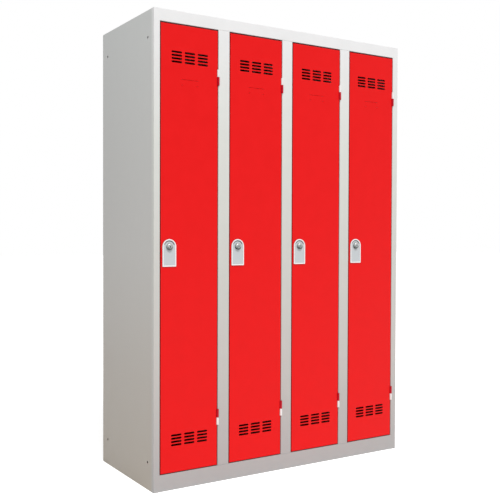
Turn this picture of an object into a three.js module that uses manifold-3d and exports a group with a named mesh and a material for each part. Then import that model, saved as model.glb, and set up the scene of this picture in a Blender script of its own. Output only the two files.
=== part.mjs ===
// A four-column clothes locker in folded sheet steel: a light grey carcass on a plain plinth,
// four red doors hung on two pinned hinges each, a key lock on every door, and in each column
// a hat shelf over a hanging rail with two hooks.
//
// Millimetres, +Z up, the doors face -Y. The origin is the middle of the footprint, on the floor.
// Inside the locker group x = 0 is the middle, y = 0 the front plane and z = 0 the floor.

import * as THREE from "three";
import { mergeVertices } from "three/addons/utils/BufferGeometryUtils.js";
import Module from "manifold-3d";

const wasm = await Module();
wasm.setup();

// Sheet and fits
const sheetGauge = 1;
const fitGap = 0.3;
const cutOverrun = 3;

// Carcass
const columnCount = 4;
const openingWidth = 249;
const leftStileWidth = 25;
const rightStileWidth = 29;
const midStileWidth = 50;
const lockerHeight = 1800;
const lockerDepth = 500;
const lintelHeight = 46;
const plinthHeight = 63;
const edgeFlangeWidth = 15;
const backFlangeWidth = 15;
const plinthReturnDepth = 20;
const joiningHoleRadius = 3.5;
const joiningHoleInset = 54;
const joiningHoleDrop = 100;
const joiningHoleRise = 104;
const joiningHoleSideCount = 10;

// Door pan and its stop
const doorSideGap = 2;
const doorTopGap = 4;
const doorBottomGap = 2.5;
const doorPanDepth = 20;
const doorReturnWidth = 12;
const stopClearance = 1.5;
const stopLipWidth = 8;

// Ventilation slots: a block of slots near each end of the door
const slotColumnCount = 3;
const slotRowCount = 4;
const slotLength = 44;
const slotHeight = 7.4;
const slotColumnPitch = 55.4;
const slotRowPitch = 12.2;
const upperVentDrop = 121.5;
const lowerVentRise = 122.5;

// Label holder: a long pressed rib, and two short ones under it that a paper label rests on
const labelRibLength = 72;
const labelTabLength = 7;
const labelRibHeight = 2;
const labelRibStandOut = 0.8;
const labelHeight = 24;
const labelDrop = 201;

// Door stiffener, a hat section behind the face
const stiffenerCrownWidth = 26;
const stiffenerFlangeWidth = 12;
const stiffenerDepth = 14;
const stiffenerVentClearance = 20;

// Hinges: a frame knuckle with its pin, and a door knuckle that turns on it
const hingeAxisProud = 1;
const knuckleRadius = 4.8;
const knuckleSideCount = 14;
const frameKnuckleHeight = 28;
const doorKnuckleHeight = 32;
const knuckleRunningGap = 0.5;
const pinRadius = 2.2;
const pinEndSetback = 1;
const knuckleNotchClearance = 0.7;
const leafLength = 20;
const leafGauge = 1.5;
const upperHingeDrop = 178;
const lowerHingeRise = 186.5;

// Lock: arch-topped plate, barrel, plug and cam
const lockAxisInset = 36;
const lockAxisHeight = 918;
const plateWidth = 57;
const plateDrop = 75;
const plateThickness = 4;
const plateFloorThickness = 1.5;
const plateRimWidth = 6;
const barrelRadius = 13;
const barrelStandOut = 11;
const barrelNeckRadius = 10;
const plugRadius = 7;
const plugStandOut = 0.7;
const plugClearance = 0.3;
const keywayWidth = 2.2;
const keywayHeight = 8;
const keywayDepth = 4;
const lockCaseWidth = 30;
const lockCaseHeight = 44;
const lockCaseDepth = 17;
const camLength = 38;
const camWidth = 14;
const camGauge = 2;
const camStopClearance = 0.8;
const plugTipWidth = 8;
const plugTipStandOut = 0.7;
const lockSideCount = 20;

// Hat shelf, hanging rail and hooks
const hatCompartmentHeight = 344;
const shelfFrontSetback = 30;
const shelfLipHeight = 20;
const shelfLipReturn = 12;
const railDrop = 60;
const railRadius = 8;
const railWall = 1.2;
const railCupRadius = 13;
const railCupThickness = 3;
const railSideCount = 12;
const hookSpacing = 90;
const hookWireRadius = 2.5;
const hookShank = 30;
const hookThroat = 18;
const hookTipRise = 10;
const hookSideCount = 6;
const hookStepCount = 10;

// Worked out from the driving sizes
const doorsWidth = columnCount * openingWidth;
const postsWidth = (columnCount - 1) * midStileWidth;
const lockerWidth = leftStileWidth + doorsWidth + postsWidth + rightStileWidth;
const columnPitch = openingWidth + midStileWidth;
const halfWidth = lockerWidth / 2;
const leftOpeningEdge = -halfWidth + leftStileWidth;
const rightOpeningEdge = halfWidth - rightStileWidth;
const openingTop = lockerHeight - lintelHeight;
const lidUnderside = lockerHeight - sheetGauge;
const floorTop = plinthHeight;
const stopDepth = doorPanDepth + stopClearance;
const stileBack = stopDepth + sheetGauge;
const backPanelBack = lockerDepth - sheetGauge - fitGap;
const backPanelFront = backPanelBack - sheetGauge;
const doorWidth = openingWidth - 2 * doorSideGap;
const doorTop = openingTop - doorTopGap;
const doorBottom = plinthHeight + doorBottomGap;
const lockProud = fitGap + barrelStandOut + plugStandOut;
const notchReach = knuckleRadius + knuckleNotchClearance;
const shelfTop = lidUnderside - hatCompartmentHeight;
const shelfBack = backPanelFront - 2 * fitGap - sheetGauge;
const railHeight = shelfTop - railDrop;
const railDepth = lockerDepth / 2;
const boreRadius = pinRadius + plugClearance;

// Finishes
function finish(color, roughness, metalness) {
  return new THREE.MeshStandardMaterial({ color, roughness, metalness });
}
const greyPaint = finish(0xd4d5d1, 0.5, 0);
const redPaint = finish(0xec2627, 0.45, 0);
const zincPlate = finish(0xc9cccf, 0.35, 0.9);
const greyCasting = finish(0xd8dcde, 0.4, 0.2);
const brightNickel = finish(0xd9d6cf, 0.2, 1);

// Solids
const axisX = new THREE.Vector3(1, 0, 0);
const axisY = new THREE.Vector3(0, 1, 0);
const axisZ = new THREE.Vector3(0, 0, 1);
const profileAlongX = new THREE.Matrix4().makeBasis(axisY, axisZ, axisX);
const profileTowardsFront = new THREE.Matrix4().makeBasis(axisX, axisZ, axisY.clone().negate());

function solidOf(geometry) {
  geometry.deleteAttribute("normal");
  geometry.deleteAttribute("uv");
  const merged = mergeVertices(geometry);
  return new wasm.Manifold(new wasm.Mesh({
    numProp: 3,
    vertProperties: new Float32Array(merged.attributes.position.array),
    triVerts: new Uint32Array(merged.index.array),
  }));
}

function geometryOf(solid) {
  const mesh = solid.getMesh();
  const geometry = new THREE.BufferGeometry();
  const points = new THREE.BufferAttribute(new Float32Array(mesh.vertProperties), 3);
  geometry.setAttribute("position", points);
  geometry.setIndex(new THREE.BufferAttribute(new Uint32Array(mesh.triVerts), 1));
  geometry.computeVertexNormals();
  return geometry;
}

function joined(...solids) {
  return solids.reduce((whole, next) => whole.add(next));
}

function cut(solid, ...tools) {
  return tools.reduce((rest, tool) => rest.subtract(tool), solid);
}

function block([x0, x1], [y0, y1], [z0, z1]) {
  const box = new THREE.BoxGeometry(x1 - x0, y1 - y0, z1 - z0);
  return solidOf(box.translate((x0 + x1) / 2, (y0 + y1) / 2, (z0 + z1) / 2));
}

function rodAlongY(radius, [y0, y1], x, z, sides) {
  const rod = new THREE.CylinderGeometry(radius, radius, y1 - y0, sides);
  return solidOf(rod.translate(x, (y0 + y1) / 2, z));
}

function rodAlongZ(radius, [z0, z1], x, y, sides) {
  const rod = new THREE.CylinderGeometry(radius, radius, z1 - z0, sides);
  return solidOf(rod.rotateX(Math.PI / 2).translate(x, y, (z0 + z1) / 2));
}

function rodAlongX(radius, [x0, x1], y, z, sides) {
  const rod = new THREE.CylinderGeometry(radius, radius, x1 - x0, sides);
  return solidOf(rod.rotateZ(Math.PI / 2).translate((x0 + x1) / 2, y, z));
}

// The outline of a sheet folded along a path: the path is the outside face, and the sheet's
// thickness lies to the left of the path's direction, with a mitre at each fold.
function foldedOutline(path, gauge) {
  const outside = path.map(([u, v]) => new THREE.Vector2(u, v));
  const leftNormals = outside.slice(1).map((point, k) => {
    const along = point.clone().sub(outside[k]).normalize();
    return new THREE.Vector2(-along.y, along.x);
  });
  const inside = outside.map((point, k) => {
    const before = leftNormals[Math.max(k - 1, 0)];
    const after = leftNormals[Math.min(k, leftNormals.length - 1)];
    const mitre = before.clone().add(after);
    return point.clone().addScaledVector(mitre, gauge * 2 / mitre.lengthSq());
  });
  return new THREE.Shape([...outside, ...inside.reverse()]);
}

function upright(shape, [z0, z1]) {
  const geometry = new THREE.ExtrudeGeometry(shape, { depth: z1 - z0, bevelEnabled: false });
  return solidOf(geometry.translate(0, 0, z0));
}

function crosswise(shape, [x0, x1]) {
  const geometry = new THREE.ExtrudeGeometry(shape, { depth: x1 - x0, bevelEnabled: false });
  return solidOf(geometry.applyMatrix4(profileAlongX).translate(x0, 0, 0));
}

function frontwise(shape, [yFront, yBack], curveSegments) {
  const options = { depth: yBack - yFront, bevelEnabled: false, curveSegments };
  const geometry = new THREE.ExtrudeGeometry(shape, options);
  return solidOf(geometry.applyMatrix4(profileTowardsFront).translate(0, yBack, 0));
}

function mirroredPath(path) {
  return path.map(([x, y]) => [-x, y]).reverse();
}

function place(parent, name, geometry, material) {
  const mesh = new THREE.Mesh(geometry, material);
  mesh.name = name;
  parent.add(mesh);
  return mesh;
}

// Places along the front
function openingLeft(column) {
  return leftOpeningEdge + column * columnPitch;
}

function hingeX(column) {
  return openingLeft(column) + openingWidth - doorSideGap / 2;
}

function postX(column) {
  return openingLeft(column) + openingWidth + midStileWidth / 2;
}

// Heights of the knuckles: both hinges have the door knuckle on the side of the door's middle
const upperSplit = doorTop - upperHingeDrop;
const lowerSplit = doorBottom + lowerHingeRise;
const halfRunning = knuckleRunningGap / 2;
const upperFrameKnuckle = [upperSplit + halfRunning, upperSplit + halfRunning + frameKnuckleHeight];
const upperDoorKnuckle = [upperSplit - halfRunning - doorKnuckleHeight, upperSplit - halfRunning];
const lowerFrameKnuckle = [lowerSplit - halfRunning - frameKnuckleHeight, lowerSplit - halfRunning];
const lowerDoorKnuckle = [lowerSplit + halfRunning, lowerSplit + halfRunning + doorKnuckleHeight];

// The space cleared round one hinge, in a door edge or a stile edge, about a hinge axis
function hingeNotch(low, high, axis, axisDepth) {
  const reachY = axisDepth + notchReach;
  const span = [low - knuckleNotchClearance, high + knuckleNotchClearance];
  return block([axis - notchReach, axis + notchReach], [-cutOverrun, reachY], span);
}

function hingeNotches(axis, axisDepth) {
  return [
    hingeNotch(upperDoorKnuckle[0], upperFrameKnuckle[1], axis, axisDepth),
    hingeNotch(lowerFrameKnuckle[0], lowerDoorKnuckle[1], axis, axisDepth),
  ];
}

// Side panel: back flange, outer wall, front stile, its return and the door stop lip
function leftHandPath(stileWidth) {
  return [
    [-halfWidth + backFlangeWidth, lockerDepth],
    [-halfWidth, lockerDepth],
    [-halfWidth, 0],
    [-halfWidth + stileWidth, 0],
    [-halfWidth + stileWidth, stopDepth],
    [-halfWidth + stileWidth + stopLipWidth, stopDepth],
  ];
}

function joiningHoles(side) {
  const outer = side * (halfWidth + cutOverrun);
  const inner = side * (halfWidth - cutOverrun);
  const span = [Math.min(outer, inner), Math.max(outer, inner)];
  const holes = [];
  for (const y of [joiningHoleInset, lockerDepth - joiningHoleInset]) {
    for (const z of [joiningHoleRise, lockerHeight - joiningHoleDrop]) {
      holes.push(rodAlongX(joiningHoleRadius, span, y, z, joiningHoleSideCount));
    }
  }
  return holes;
}

function sidePanel(side) {
  const isLeft = side < 0;
  const path = isLeft ? leftHandPath(leftStileWidth) : mirroredPath(leftHandPath(rightStileWidth));
  const shell = upright(foldedOutline(path, sheetGauge), [0, lidUnderside - fitGap]);
  const outer = side * halfWidth;
  const tip = outer - side * plinthReturnDepth;
  const foot = block(
    [Math.min(outer, tip), Math.max(outer, tip)],
    [joiningHoleInset, lockerDepth - joiningHoleInset],
    [0, sheetGauge],
  );
  return cut(joined(shell, foot), ...joiningHoles(side));
}

function leftSidePanel() {
  return sidePanel(-1);
}

function rightSidePanel() {
  return cut(sidePanel(1), ...hingeNotches(hingeX(columnCount - 1), -hingeAxisProud));
}

// Welding flanges that turn down inside the side walls, at both ends of a level sheet
function endFlanges(halfLength, yRange, top) {
  const zRange = [top - edgeFlangeWidth, top];
  return [
    block([-halfLength, -halfLength + sheetGauge], yRange, zRange),
    block([halfLength - sheetGauge, halfLength], yRange, zRange),
  ];
}

const betweenStiles = [leftOpeningEdge + fitGap, rightOpeningEdge - fitGap];
const betweenWalls = [-halfWidth + sheetGauge + fitGap, halfWidth - sheetGauge - fitGap];
const flangeRun = [stileBack + edgeFlangeWidth, backPanelFront - edgeFlangeWidth];

// Flange across the back, between the back flanges of the two side panels
function rearFlange(zRange) {
  const half = halfWidth - backFlangeWidth - fitGap;
  return block([-half, half], [lockerDepth - sheetGauge, lockerDepth], zRange);
}

// Top: the lid covers the side walls, its front turns down as the lintel over the doors
function topPanel() {
  const path = [
    [lockerDepth, lockerHeight - edgeFlangeWidth],
    [lockerDepth, lockerHeight],
    [0, lockerHeight],
    [0, openingTop],
    [stopDepth - fitGap, openingTop],
  ];
  const lintel = crosswise(foldedOutline(path, sheetGauge), betweenStiles);
  const lid = block([-halfWidth, halfWidth], [0, lockerDepth], [lidUnderside, lockerHeight]);
  const rear = rearFlange([lockerHeight - edgeFlangeWidth, lockerHeight]);
  return joined(lintel, lid, rear, ...endFlanges(betweenWalls[1], flangeRun, lockerHeight));
}

// Bottom: compartment floor, with the plinth turned down in front and a skirt at the back.
// Its front corners reach into the stile channels and close their feet.
function bottomPanel() {
  const path = [
    [lockerDepth, 0],
    [lockerDepth, floorTop],
    [0, floorTop],
    [0, 0],
    [plinthReturnDepth, 0],
  ];
  const plinth = crosswise(foldedOutline(path, sheetGauge), betweenStiles);
  const trayHeight = [floorTop - sheetGauge, floorTop];
  const tray = block(betweenWalls, [stileBack + fitGap, backPanelBack], trayHeight);
  const channelClear = [
    leftOpeningEdge - sheetGauge - fitGap,
    rightOpeningEdge + sheetGauge + fitGap,
  ];
  const cornerRun = [sheetGauge + fitGap, stileBack + edgeFlangeWidth];
  const sheet = joined(
    plinth,
    tray,
    block([betweenWalls[0], channelClear[0]], cornerRun, trayHeight),
    block([channelClear[1], betweenWalls[1]], cornerRun, trayHeight),
    rearFlange([0, floorTop]),
    ...endFlanges(betweenWalls[1], flangeRun, floorTop),
  );
  const lipClear = [
    leftOpeningEdge + stopLipWidth + fitGap,
    rightOpeningEdge - stopLipWidth - fitGap,
  ];
  const lipSpan = [stopDepth - fitGap, stileBack + fitGap];
  const lipHeight = [floorTop - sheetGauge - cutOverrun, floorTop + cutOverrun];
  return cut(
    sheet,
    block([channelClear[0], lipClear[0]], lipSpan, lipHeight),
    block([lipClear[1], channelClear[1]], lipSpan, lipHeight),
  );
}

function backPanel() {
  const heightRange = [floorTop + fitGap, lidUnderside - fitGap];
  return block(betweenWalls, [backPanelFront, backPanelBack], heightRange);
}

// Partition between two columns: a web with a front flange inside the post and a back flange
function partition() {
  const front = sheetGauge + fitGap;
  const back = backPanelFront - fitGap;
  const half = sheetGauge / 2;
  const path = [
    [backFlangeWidth, back],
    [-half, back],
    [-half, front],
    [edgeFlangeWidth, front],
  ];
  const heightRange = [floorTop + fitGap, lidUnderside - fitGap];
  const sheet = upright(foldedOutline(path, sheetGauge), heightRange);
  const lintelClearance = block(
    [-backFlangeWidth, backFlangeWidth + cutOverrun],
    [0, stopDepth],
    [openingTop - fitGap, lockerHeight],
  );
  return cut(sheet, lintelClearance);
}

// Post between two doors, with a stop lip towards each opening
function frontPost() {
  const half = midStileWidth / 2;
  const path = [
    [-half - stopLipWidth, stopDepth],
    [-half, stopDepth],
    [-half, 0],
    [half, 0],
    [half, stopDepth],
    [half + stopLipWidth, stopDepth],
  ];
  const heightRange = [floorTop + fitGap, openingTop - fitGap];
  const channel = upright(foldedOutline(path, sheetGauge), heightRange);
  return cut(channel, ...hingeNotches(-half - doorSideGap / 2, -hingeAxisProud));
}

// Clear width between the walls of one column, from its left wall to its right wall
function columnWalls(column) {
  const left = column === 0 ? -halfWidth + sheetGauge : postX(column - 1) + sheetGauge / 2;
  const isLast = column === columnCount - 1;
  const right = isLast ? halfWidth - sheetGauge : postX(column) - sheetGauge / 2;
  return [left + fitGap, right - fitGap];
}

function hatShelf(length) {
  const path = [
    [shelfBack, shelfTop - shelfLipReturn],
    [shelfBack, shelfTop],
    [shelfFrontSetback, shelfTop],
    [shelfFrontSetback, shelfTop - shelfLipHeight],
    [shelfFrontSetback + shelfLipReturn, shelfTop - shelfLipHeight],
  ];
  const half = length / 2;
  const sheet = crosswise(foldedOutline(path, sheetGauge), [-half, half]);
  const run = [shelfFrontSetback + 2 * shelfLipReturn, shelfBack - 2 * shelfLipReturn];
  return joined(sheet, ...endFlanges(half, run, shelfTop));
}

// Hook: a round wire that drops from the rail, turns forward and ends in an upturned tip
function hook(x) {
  const radius = hookThroat / 2;
  const bendHeight = -railRadius - hookShank;
  const points = [
    new THREE.Vector3(x, 0, -railRadius + railWall / 2),
    new THREE.Vector3(x, 0, bendHeight),
    new THREE.Vector3(x, -radius * (1 - Math.SQRT1_2), bendHeight - radius * Math.SQRT1_2),
    new THREE.Vector3(x, -radius, bendHeight - radius),
    new THREE.Vector3(x, -radius * (1 + Math.SQRT1_2), bendHeight - radius * Math.SQRT1_2),
    new THREE.Vector3(x, -hookThroat, bendHeight),
    new THREE.Vector3(x, -hookThroat, bendHeight + hookTipRise),
  ];
  const section = new THREE.Shape().absarc(0, 0, hookWireRadius, 0, 2 * Math.PI);
  const geometry = new THREE.ExtrudeGeometry(section, {
    extrudePath: new THREE.CatmullRomCurve3(points, false, "centripetal"),
    steps: hookStepCount,
    curveSegments: hookSideCount,
    bevelEnabled: false,
  });
  return solidOf(geometry);
}

// Hanging rail about its own axis: tube, a cup at each wall and two hooks
function hangingRail(length) {
  const half = length / 2;
  const outside = joined(
    rodAlongX(railRadius, [-half, half], 0, 0, railSideCount),
    rodAlongX(railCupRadius, [-half, -half + railCupThickness], 0, 0, railSideCount),
    rodAlongX(railCupRadius, [half - railCupThickness, half], 0, 0, railSideCount),
    hook(-hookSpacing / 2),
    hook(hookSpacing / 2),
  );
  const boreRun = [-half - cutOverrun, half + cutOverrun];
  return cut(outside, rodAlongX(railRadius - railWall, boreRun, 0, 0, railSideCount));
}

// Door, about its hinge axis: x = 0 and y = 0 on the axis, z = 0 on the floor
const doorRight = -doorSideGap / 2;
const doorLeft = doorRight - doorWidth;
const doorMiddle = (doorLeft + doorRight) / 2;
const doorFace = hingeAxisProud;
const doorInside = doorFace + sheetGauge;
const lockX = doorLeft + lockAxisInset;

function slotBlock(centreHeight) {
  const slots = [];
  for (let column = 0; column < slotColumnCount; column += 1) {
    const x = doorMiddle + (column - (slotColumnCount - 1) / 2) * slotColumnPitch;
    for (let row = 0; row < slotRowCount; row += 1) {
      const z = centreHeight + (row - (slotRowCount - 1) / 2) * slotRowPitch;
      slots.push(block(
        [x - slotLength / 2, x + slotLength / 2],
        [doorFace - cutOverrun, doorInside + cutOverrun],
        [z - slotHeight / 2, z + slotHeight / 2],
      ));
    }
  }
  return slots;
}

function labelRib(from, to, top) {
  return block([from, to], [doorFace - labelRibStandOut, doorInside], [top - labelRibHeight, top]);
}

function labelRibs() {
  const top = doorTop - labelDrop;
  const left = doorMiddle - labelRibLength / 2;
  const right = doorMiddle + labelRibLength / 2;
  return [
    labelRib(left, right, top),
    labelRib(left, left + labelTabLength, top - labelHeight),
    labelRib(right - labelTabLength, right, top - labelHeight),
  ];
}

function doorPanel() {
  const back = doorFace + doorPanDepth;
  const pan = block([doorLeft, doorRight], [doorFace, back], [doorBottom, doorTop]);
  const hollow = block(
    [doorLeft + sheetGauge, doorRight - sheetGauge],
    [doorInside, back - sheetGauge],
    [doorBottom + sheetGauge, doorTop - sheetGauge],
  );
  const access = block(
    [doorLeft + doorReturnWidth, doorRight - doorReturnWidth],
    [doorInside + sheetGauge, back + cutOverrun],
    [doorBottom + doorReturnWidth, doorTop - doorReturnWidth],
  );
  const folded = joined(cut(pan, hollow, access), ...labelRibs());
  const neckCut = [doorFace - cutOverrun, doorInside + cutOverrun];
  return cut(
    folded,
    ...slotBlock(doorTop - upperVentDrop),
    ...slotBlock(doorBottom + lowerVentRise),
    ...hingeNotches(0, 0),
    rodAlongY(barrelNeckRadius + fitGap, neckCut, lockX, lockAxisHeight, lockSideCount),
  );
}

function doorStiffener() {
  const flange = doorInside + fitGap;
  const half = stiffenerCrownWidth / 2;
  const path = [
    [-half - stiffenerFlangeWidth, flange],
    [-half, flange],
    [-half, flange + stiffenerDepth],
    [half, flange + stiffenerDepth],
    [half, flange],
    [half + stiffenerFlangeWidth, flange],
  ];
  const ventHalf = (slotRowCount - 1) / 2 * slotRowPitch + slotHeight / 2 + stiffenerVentClearance;
  const run = [doorBottom + lowerVentRise + ventHalf, doorTop - upperVentDrop - ventHalf];
  const section = upright(foldedOutline(path, sheetGauge), run);
  return section.translate([doorMiddle, 0, 0]);
}

// A knuckle about its axis, with a leaf behind the sheet that it is welded to
function knuckle(span, leafSide, axisBehindFace) {
  const barrel = rodAlongZ(knuckleRadius, span, 0, 0, knuckleSideCount);
  const leafFront = axisBehindFace + sheetGauge + fitGap;
  const leaf = block(
    [Math.min(0, leafSide * leafLength), Math.max(0, leafSide * leafLength)],
    [leafFront, leafFront + leafGauge],
    span,
  );
  return joined(barrel, leaf);
}

function doorKnuckle(span) {
  const boreSpan = [span[0] - cutOverrun, span[1] + cutOverrun];
  const bore = rodAlongZ(boreRadius, boreSpan, 0, 0, knuckleSideCount);
  return cut(knuckle(span, -1, hingeAxisProud), bore);
}

function frameKnuckle(span, pinSpan) {
  const pin = rodAlongZ(pinRadius, pinSpan, 0, 0, knuckleSideCount);
  return joined(knuckle(span, 1, hingeAxisProud), pin);
}

const upperPin = [upperDoorKnuckle[0] + pinEndSetback, upperFrameKnuckle[1] - knuckleRadius];
const lowerPin = [lowerFrameKnuckle[0] + knuckleRadius, lowerDoorKnuckle[1] - pinEndSetback];

// Lock, about its turning axis: y = 0 on the door's face
function archShape(halfWidthOfArch, drop) {
  const shape = new THREE.Shape();
  shape.moveTo(-halfWidthOfArch, -drop);
  shape.lineTo(halfWidthOfArch, -drop);
  shape.lineTo(halfWidthOfArch, 0);
  shape.absarc(0, 0, halfWidthOfArch, 0, Math.PI, false);
  return shape;
}

function lockPlate() {
  const half = plateWidth / 2;
  const back = -fitGap;
  const front = back - plateThickness;
  const floorFront = back - plateFloorThickness;
  const arcSegments = lockSideCount / 2;
  const plate = frontwise(archShape(half, plateDrop), [front, back], arcSegments);
  const pocketShape = archShape(half - plateRimWidth, plateDrop - plateRimWidth);
  const pocket = frontwise(pocketShape, [front - cutOverrun, floorFront], arcSegments);
  const neckRun = [front, back + cutOverrun];
  const neckHole = rodAlongY(barrelNeckRadius + fitGap, neckRun, 0, 0, lockSideCount);
  return cut(plate, pocket, neckHole);
}

function lockHousing() {
  const front = -fitGap - barrelStandOut;
  const seat = -fitGap - plateFloorThickness - fitGap;
  const caseFront = sheetGauge + fitGap;
  const caseBack = caseFront + lockCaseDepth;
  const barrel = rodAlongY(barrelRadius, [front, seat], 0, 0, lockSideCount);
  const neckRun = [seat - sheetGauge, caseFront + sheetGauge];
  const neck = rodAlongY(barrelNeckRadius, neckRun, 0, 0, lockSideCount);
  const lockCase = block(
    [-lockCaseWidth / 2, lockCaseWidth / 2],
    [caseFront, caseBack],
    [-lockCaseHeight / 2, lockCaseHeight / 2],
  );
  const boreRun = [front - cutOverrun, caseBack + cutOverrun];
  const bore = rodAlongY(plugRadius + plugClearance, boreRun, 0, 0, lockSideCount);
  return cut(joined(barrel, neck, lockCase), bore);
}

const camFront = stileBack + camStopClearance;

function lockPlug() {
  const front = -fitGap - barrelStandOut - plugStandOut;
  const shoulder = camFront - fitGap;
  const body = rodAlongY(plugRadius, [front, shoulder], 0, 0, lockSideCount);
  const half = plugTipWidth / 2;
  const tipRun = [shoulder - sheetGauge, camFront + camGauge + plugTipStandOut];
  const tip = block([-half, half], tipRun, [-half, half]);
  const keyway = block(
    [-keywayWidth / 2, keywayWidth / 2],
    [front - cutOverrun, front + keywayDepth],
    [-keywayHeight / 2, keywayHeight / 2],
  );
  return cut(joined(body, tip), keyway);
}

function lockCam() {
  const yRange = [camFront, camFront + camGauge];
  const half = camWidth / 2;
  const arm = block([-half, half], yRange, [-camLength, 0]);
  const head = rodAlongY(half, yRange, 0, 0, lockSideCount);
  const hole = plugTipWidth / 2 + fitGap;
  const eyeRun = [camFront - cutOverrun, camFront + camGauge + cutOverrun];
  return cut(joined(arm, head), block([-hole, hole], eyeRun, [-hole, hole]));
}

// Geometries that the columns share
const frameKnuckleUpperGeometry = geometryOf(frameKnuckle(upperFrameKnuckle, upperPin));
const frameKnuckleLowerGeometry = geometryOf(frameKnuckle(lowerFrameKnuckle, lowerPin));
const doorKnuckleUpperGeometry = geometryOf(doorKnuckle(upperDoorKnuckle));
const doorKnuckleLowerGeometry = geometryOf(doorKnuckle(lowerDoorKnuckle));
const doorPanelGeometry = geometryOf(doorPanel());
const doorStiffenerGeometry = geometryOf(doorStiffener());
const lockPlateGeometry = geometryOf(lockPlate());
const lockHousingGeometry = geometryOf(lockHousing());
const lockPlugGeometry = geometryOf(lockPlug());
const lockCamGeometry = geometryOf(lockCam());
const partitionGeometry = geometryOf(partition());
const frontPostGeometry = geometryOf(frontPost());

function addLock(door, number) {
  const lock = new THREE.Group();
  lock.position.set(lockX, doorFace, lockAxisHeight);
  place(lock, `lock_plate_${number}`, lockPlateGeometry, greyCasting);
  place(lock, `lock_housing_${number}`, lockHousingGeometry, brightNickel);
  place(lock, `lock_plug_${number}`, lockPlugGeometry, brightNickel);
  place(lock, `lock_cam_${number}`, lockCamGeometry, zincPlate);
  door.add(lock);
}

function addDoor(locker, column) {
  const number = column + 1;
  const door = new THREE.Group();
  door.position.set(hingeX(column), -hingeAxisProud, 0);
  place(door, `door_panel_${number}`, doorPanelGeometry, redPaint);
  place(door, `door_stiffener_${number}`, doorStiffenerGeometry, redPaint);
  place(door, `door_knuckle_upper_${number}`, doorKnuckleUpperGeometry, redPaint);
  place(door, `door_knuckle_lower_${number}`, doorKnuckleLowerGeometry, redPaint);
  addLock(door, number);
  locker.add(door);
}

function addFrameHinges(locker, column) {
  const number = column + 1;
  const hinge = new THREE.Group();
  hinge.position.set(hingeX(column), -hingeAxisProud, 0);
  place(hinge, `frame_hinge_upper_${number}`, frameKnuckleUpperGeometry, greyPaint);
  place(hinge, `frame_hinge_lower_${number}`, frameKnuckleLowerGeometry, greyPaint);
  locker.add(hinge);
}

function addColumnFittings(locker, column) {
  const number = column + 1;
  const [left, right] = columnWalls(column);
  const fittings = new THREE.Group();
  fittings.position.set((left + right) / 2, 0, 0);
  const length = right - left;
  place(fittings, `hat_shelf_${number}`, geometryOf(hatShelf(length)), greyPaint);
  const rail = geometryOf(hangingRail(length));
  place(fittings, `hanging_rail_${number}`, rail, zincPlate).position.set(0, railDepth, railHeight);
  locker.add(fittings);
}

function addDivider(locker, column) {
  const number = column + 1;
  const divider = new THREE.Group();
  divider.position.set(postX(column), 0, 0);
  place(divider, `partition_${number}`, partitionGeometry, greyPaint);
  place(divider, `front_post_${number}`, frontPostGeometry, greyPaint);
  locker.add(divider);
}

const locker = new THREE.Group();
locker.name = "locker";
locker.position.y = (lockProud - lockerDepth) / 2;
place(locker, "left_side_panel", geometryOf(leftSidePanel()), greyPaint);
place(locker, "right_side_panel", geometryOf(rightSidePanel()), greyPaint);
place(locker, "back_panel", geometryOf(backPanel()), greyPaint);
place(locker, "top_panel", geometryOf(topPanel()), greyPaint);
place(locker, "bottom_panel", geometryOf(bottomPanel()), greyPaint);
for (let column = 0; column < columnCount - 1; column += 1) {
  addDivider(locker, column);
}
for (let column = 0; column < columnCount; column += 1) {
  addColumnFittings(locker, column);
  addFrameHinges(locker, column);
  addDoor(locker, column);
}

export default locker;
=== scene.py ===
# A four-column clothes locker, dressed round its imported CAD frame: folded sheet with rounded
# bends, pierced doors, pinned hinges, cast lock plates, and the paint and metal finishes.
#
# Sizes are written in millimetres in the locker's own frame: x = 0 is the middle, y = 0 the
# front plane, z = 0 the floor, and the doors face -Y. ROW turns them into the row frame.

from math import atan2, copysign, cos, pi, radians, sin, tan

import bmesh
import bpy
from mathutils import Euler, Matrix, Vector


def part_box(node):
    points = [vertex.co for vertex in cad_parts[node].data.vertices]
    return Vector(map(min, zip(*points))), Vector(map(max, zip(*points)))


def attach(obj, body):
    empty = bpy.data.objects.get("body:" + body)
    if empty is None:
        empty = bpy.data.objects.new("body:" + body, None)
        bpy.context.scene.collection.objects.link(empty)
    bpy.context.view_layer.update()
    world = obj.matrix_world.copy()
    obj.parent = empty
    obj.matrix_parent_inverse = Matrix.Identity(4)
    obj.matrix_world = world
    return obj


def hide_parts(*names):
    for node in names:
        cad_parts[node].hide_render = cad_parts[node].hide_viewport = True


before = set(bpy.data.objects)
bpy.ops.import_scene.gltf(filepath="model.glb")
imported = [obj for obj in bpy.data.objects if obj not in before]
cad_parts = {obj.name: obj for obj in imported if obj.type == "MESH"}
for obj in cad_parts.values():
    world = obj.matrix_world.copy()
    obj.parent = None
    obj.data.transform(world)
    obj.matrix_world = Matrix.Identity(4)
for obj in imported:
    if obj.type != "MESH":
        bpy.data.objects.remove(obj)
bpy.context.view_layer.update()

METRE = 0.001
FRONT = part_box("front_post_1")[0].y
ROW = Matrix.Translation((0, FRONT, 0)) @ Matrix.Scale(METRE, 4)

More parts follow.
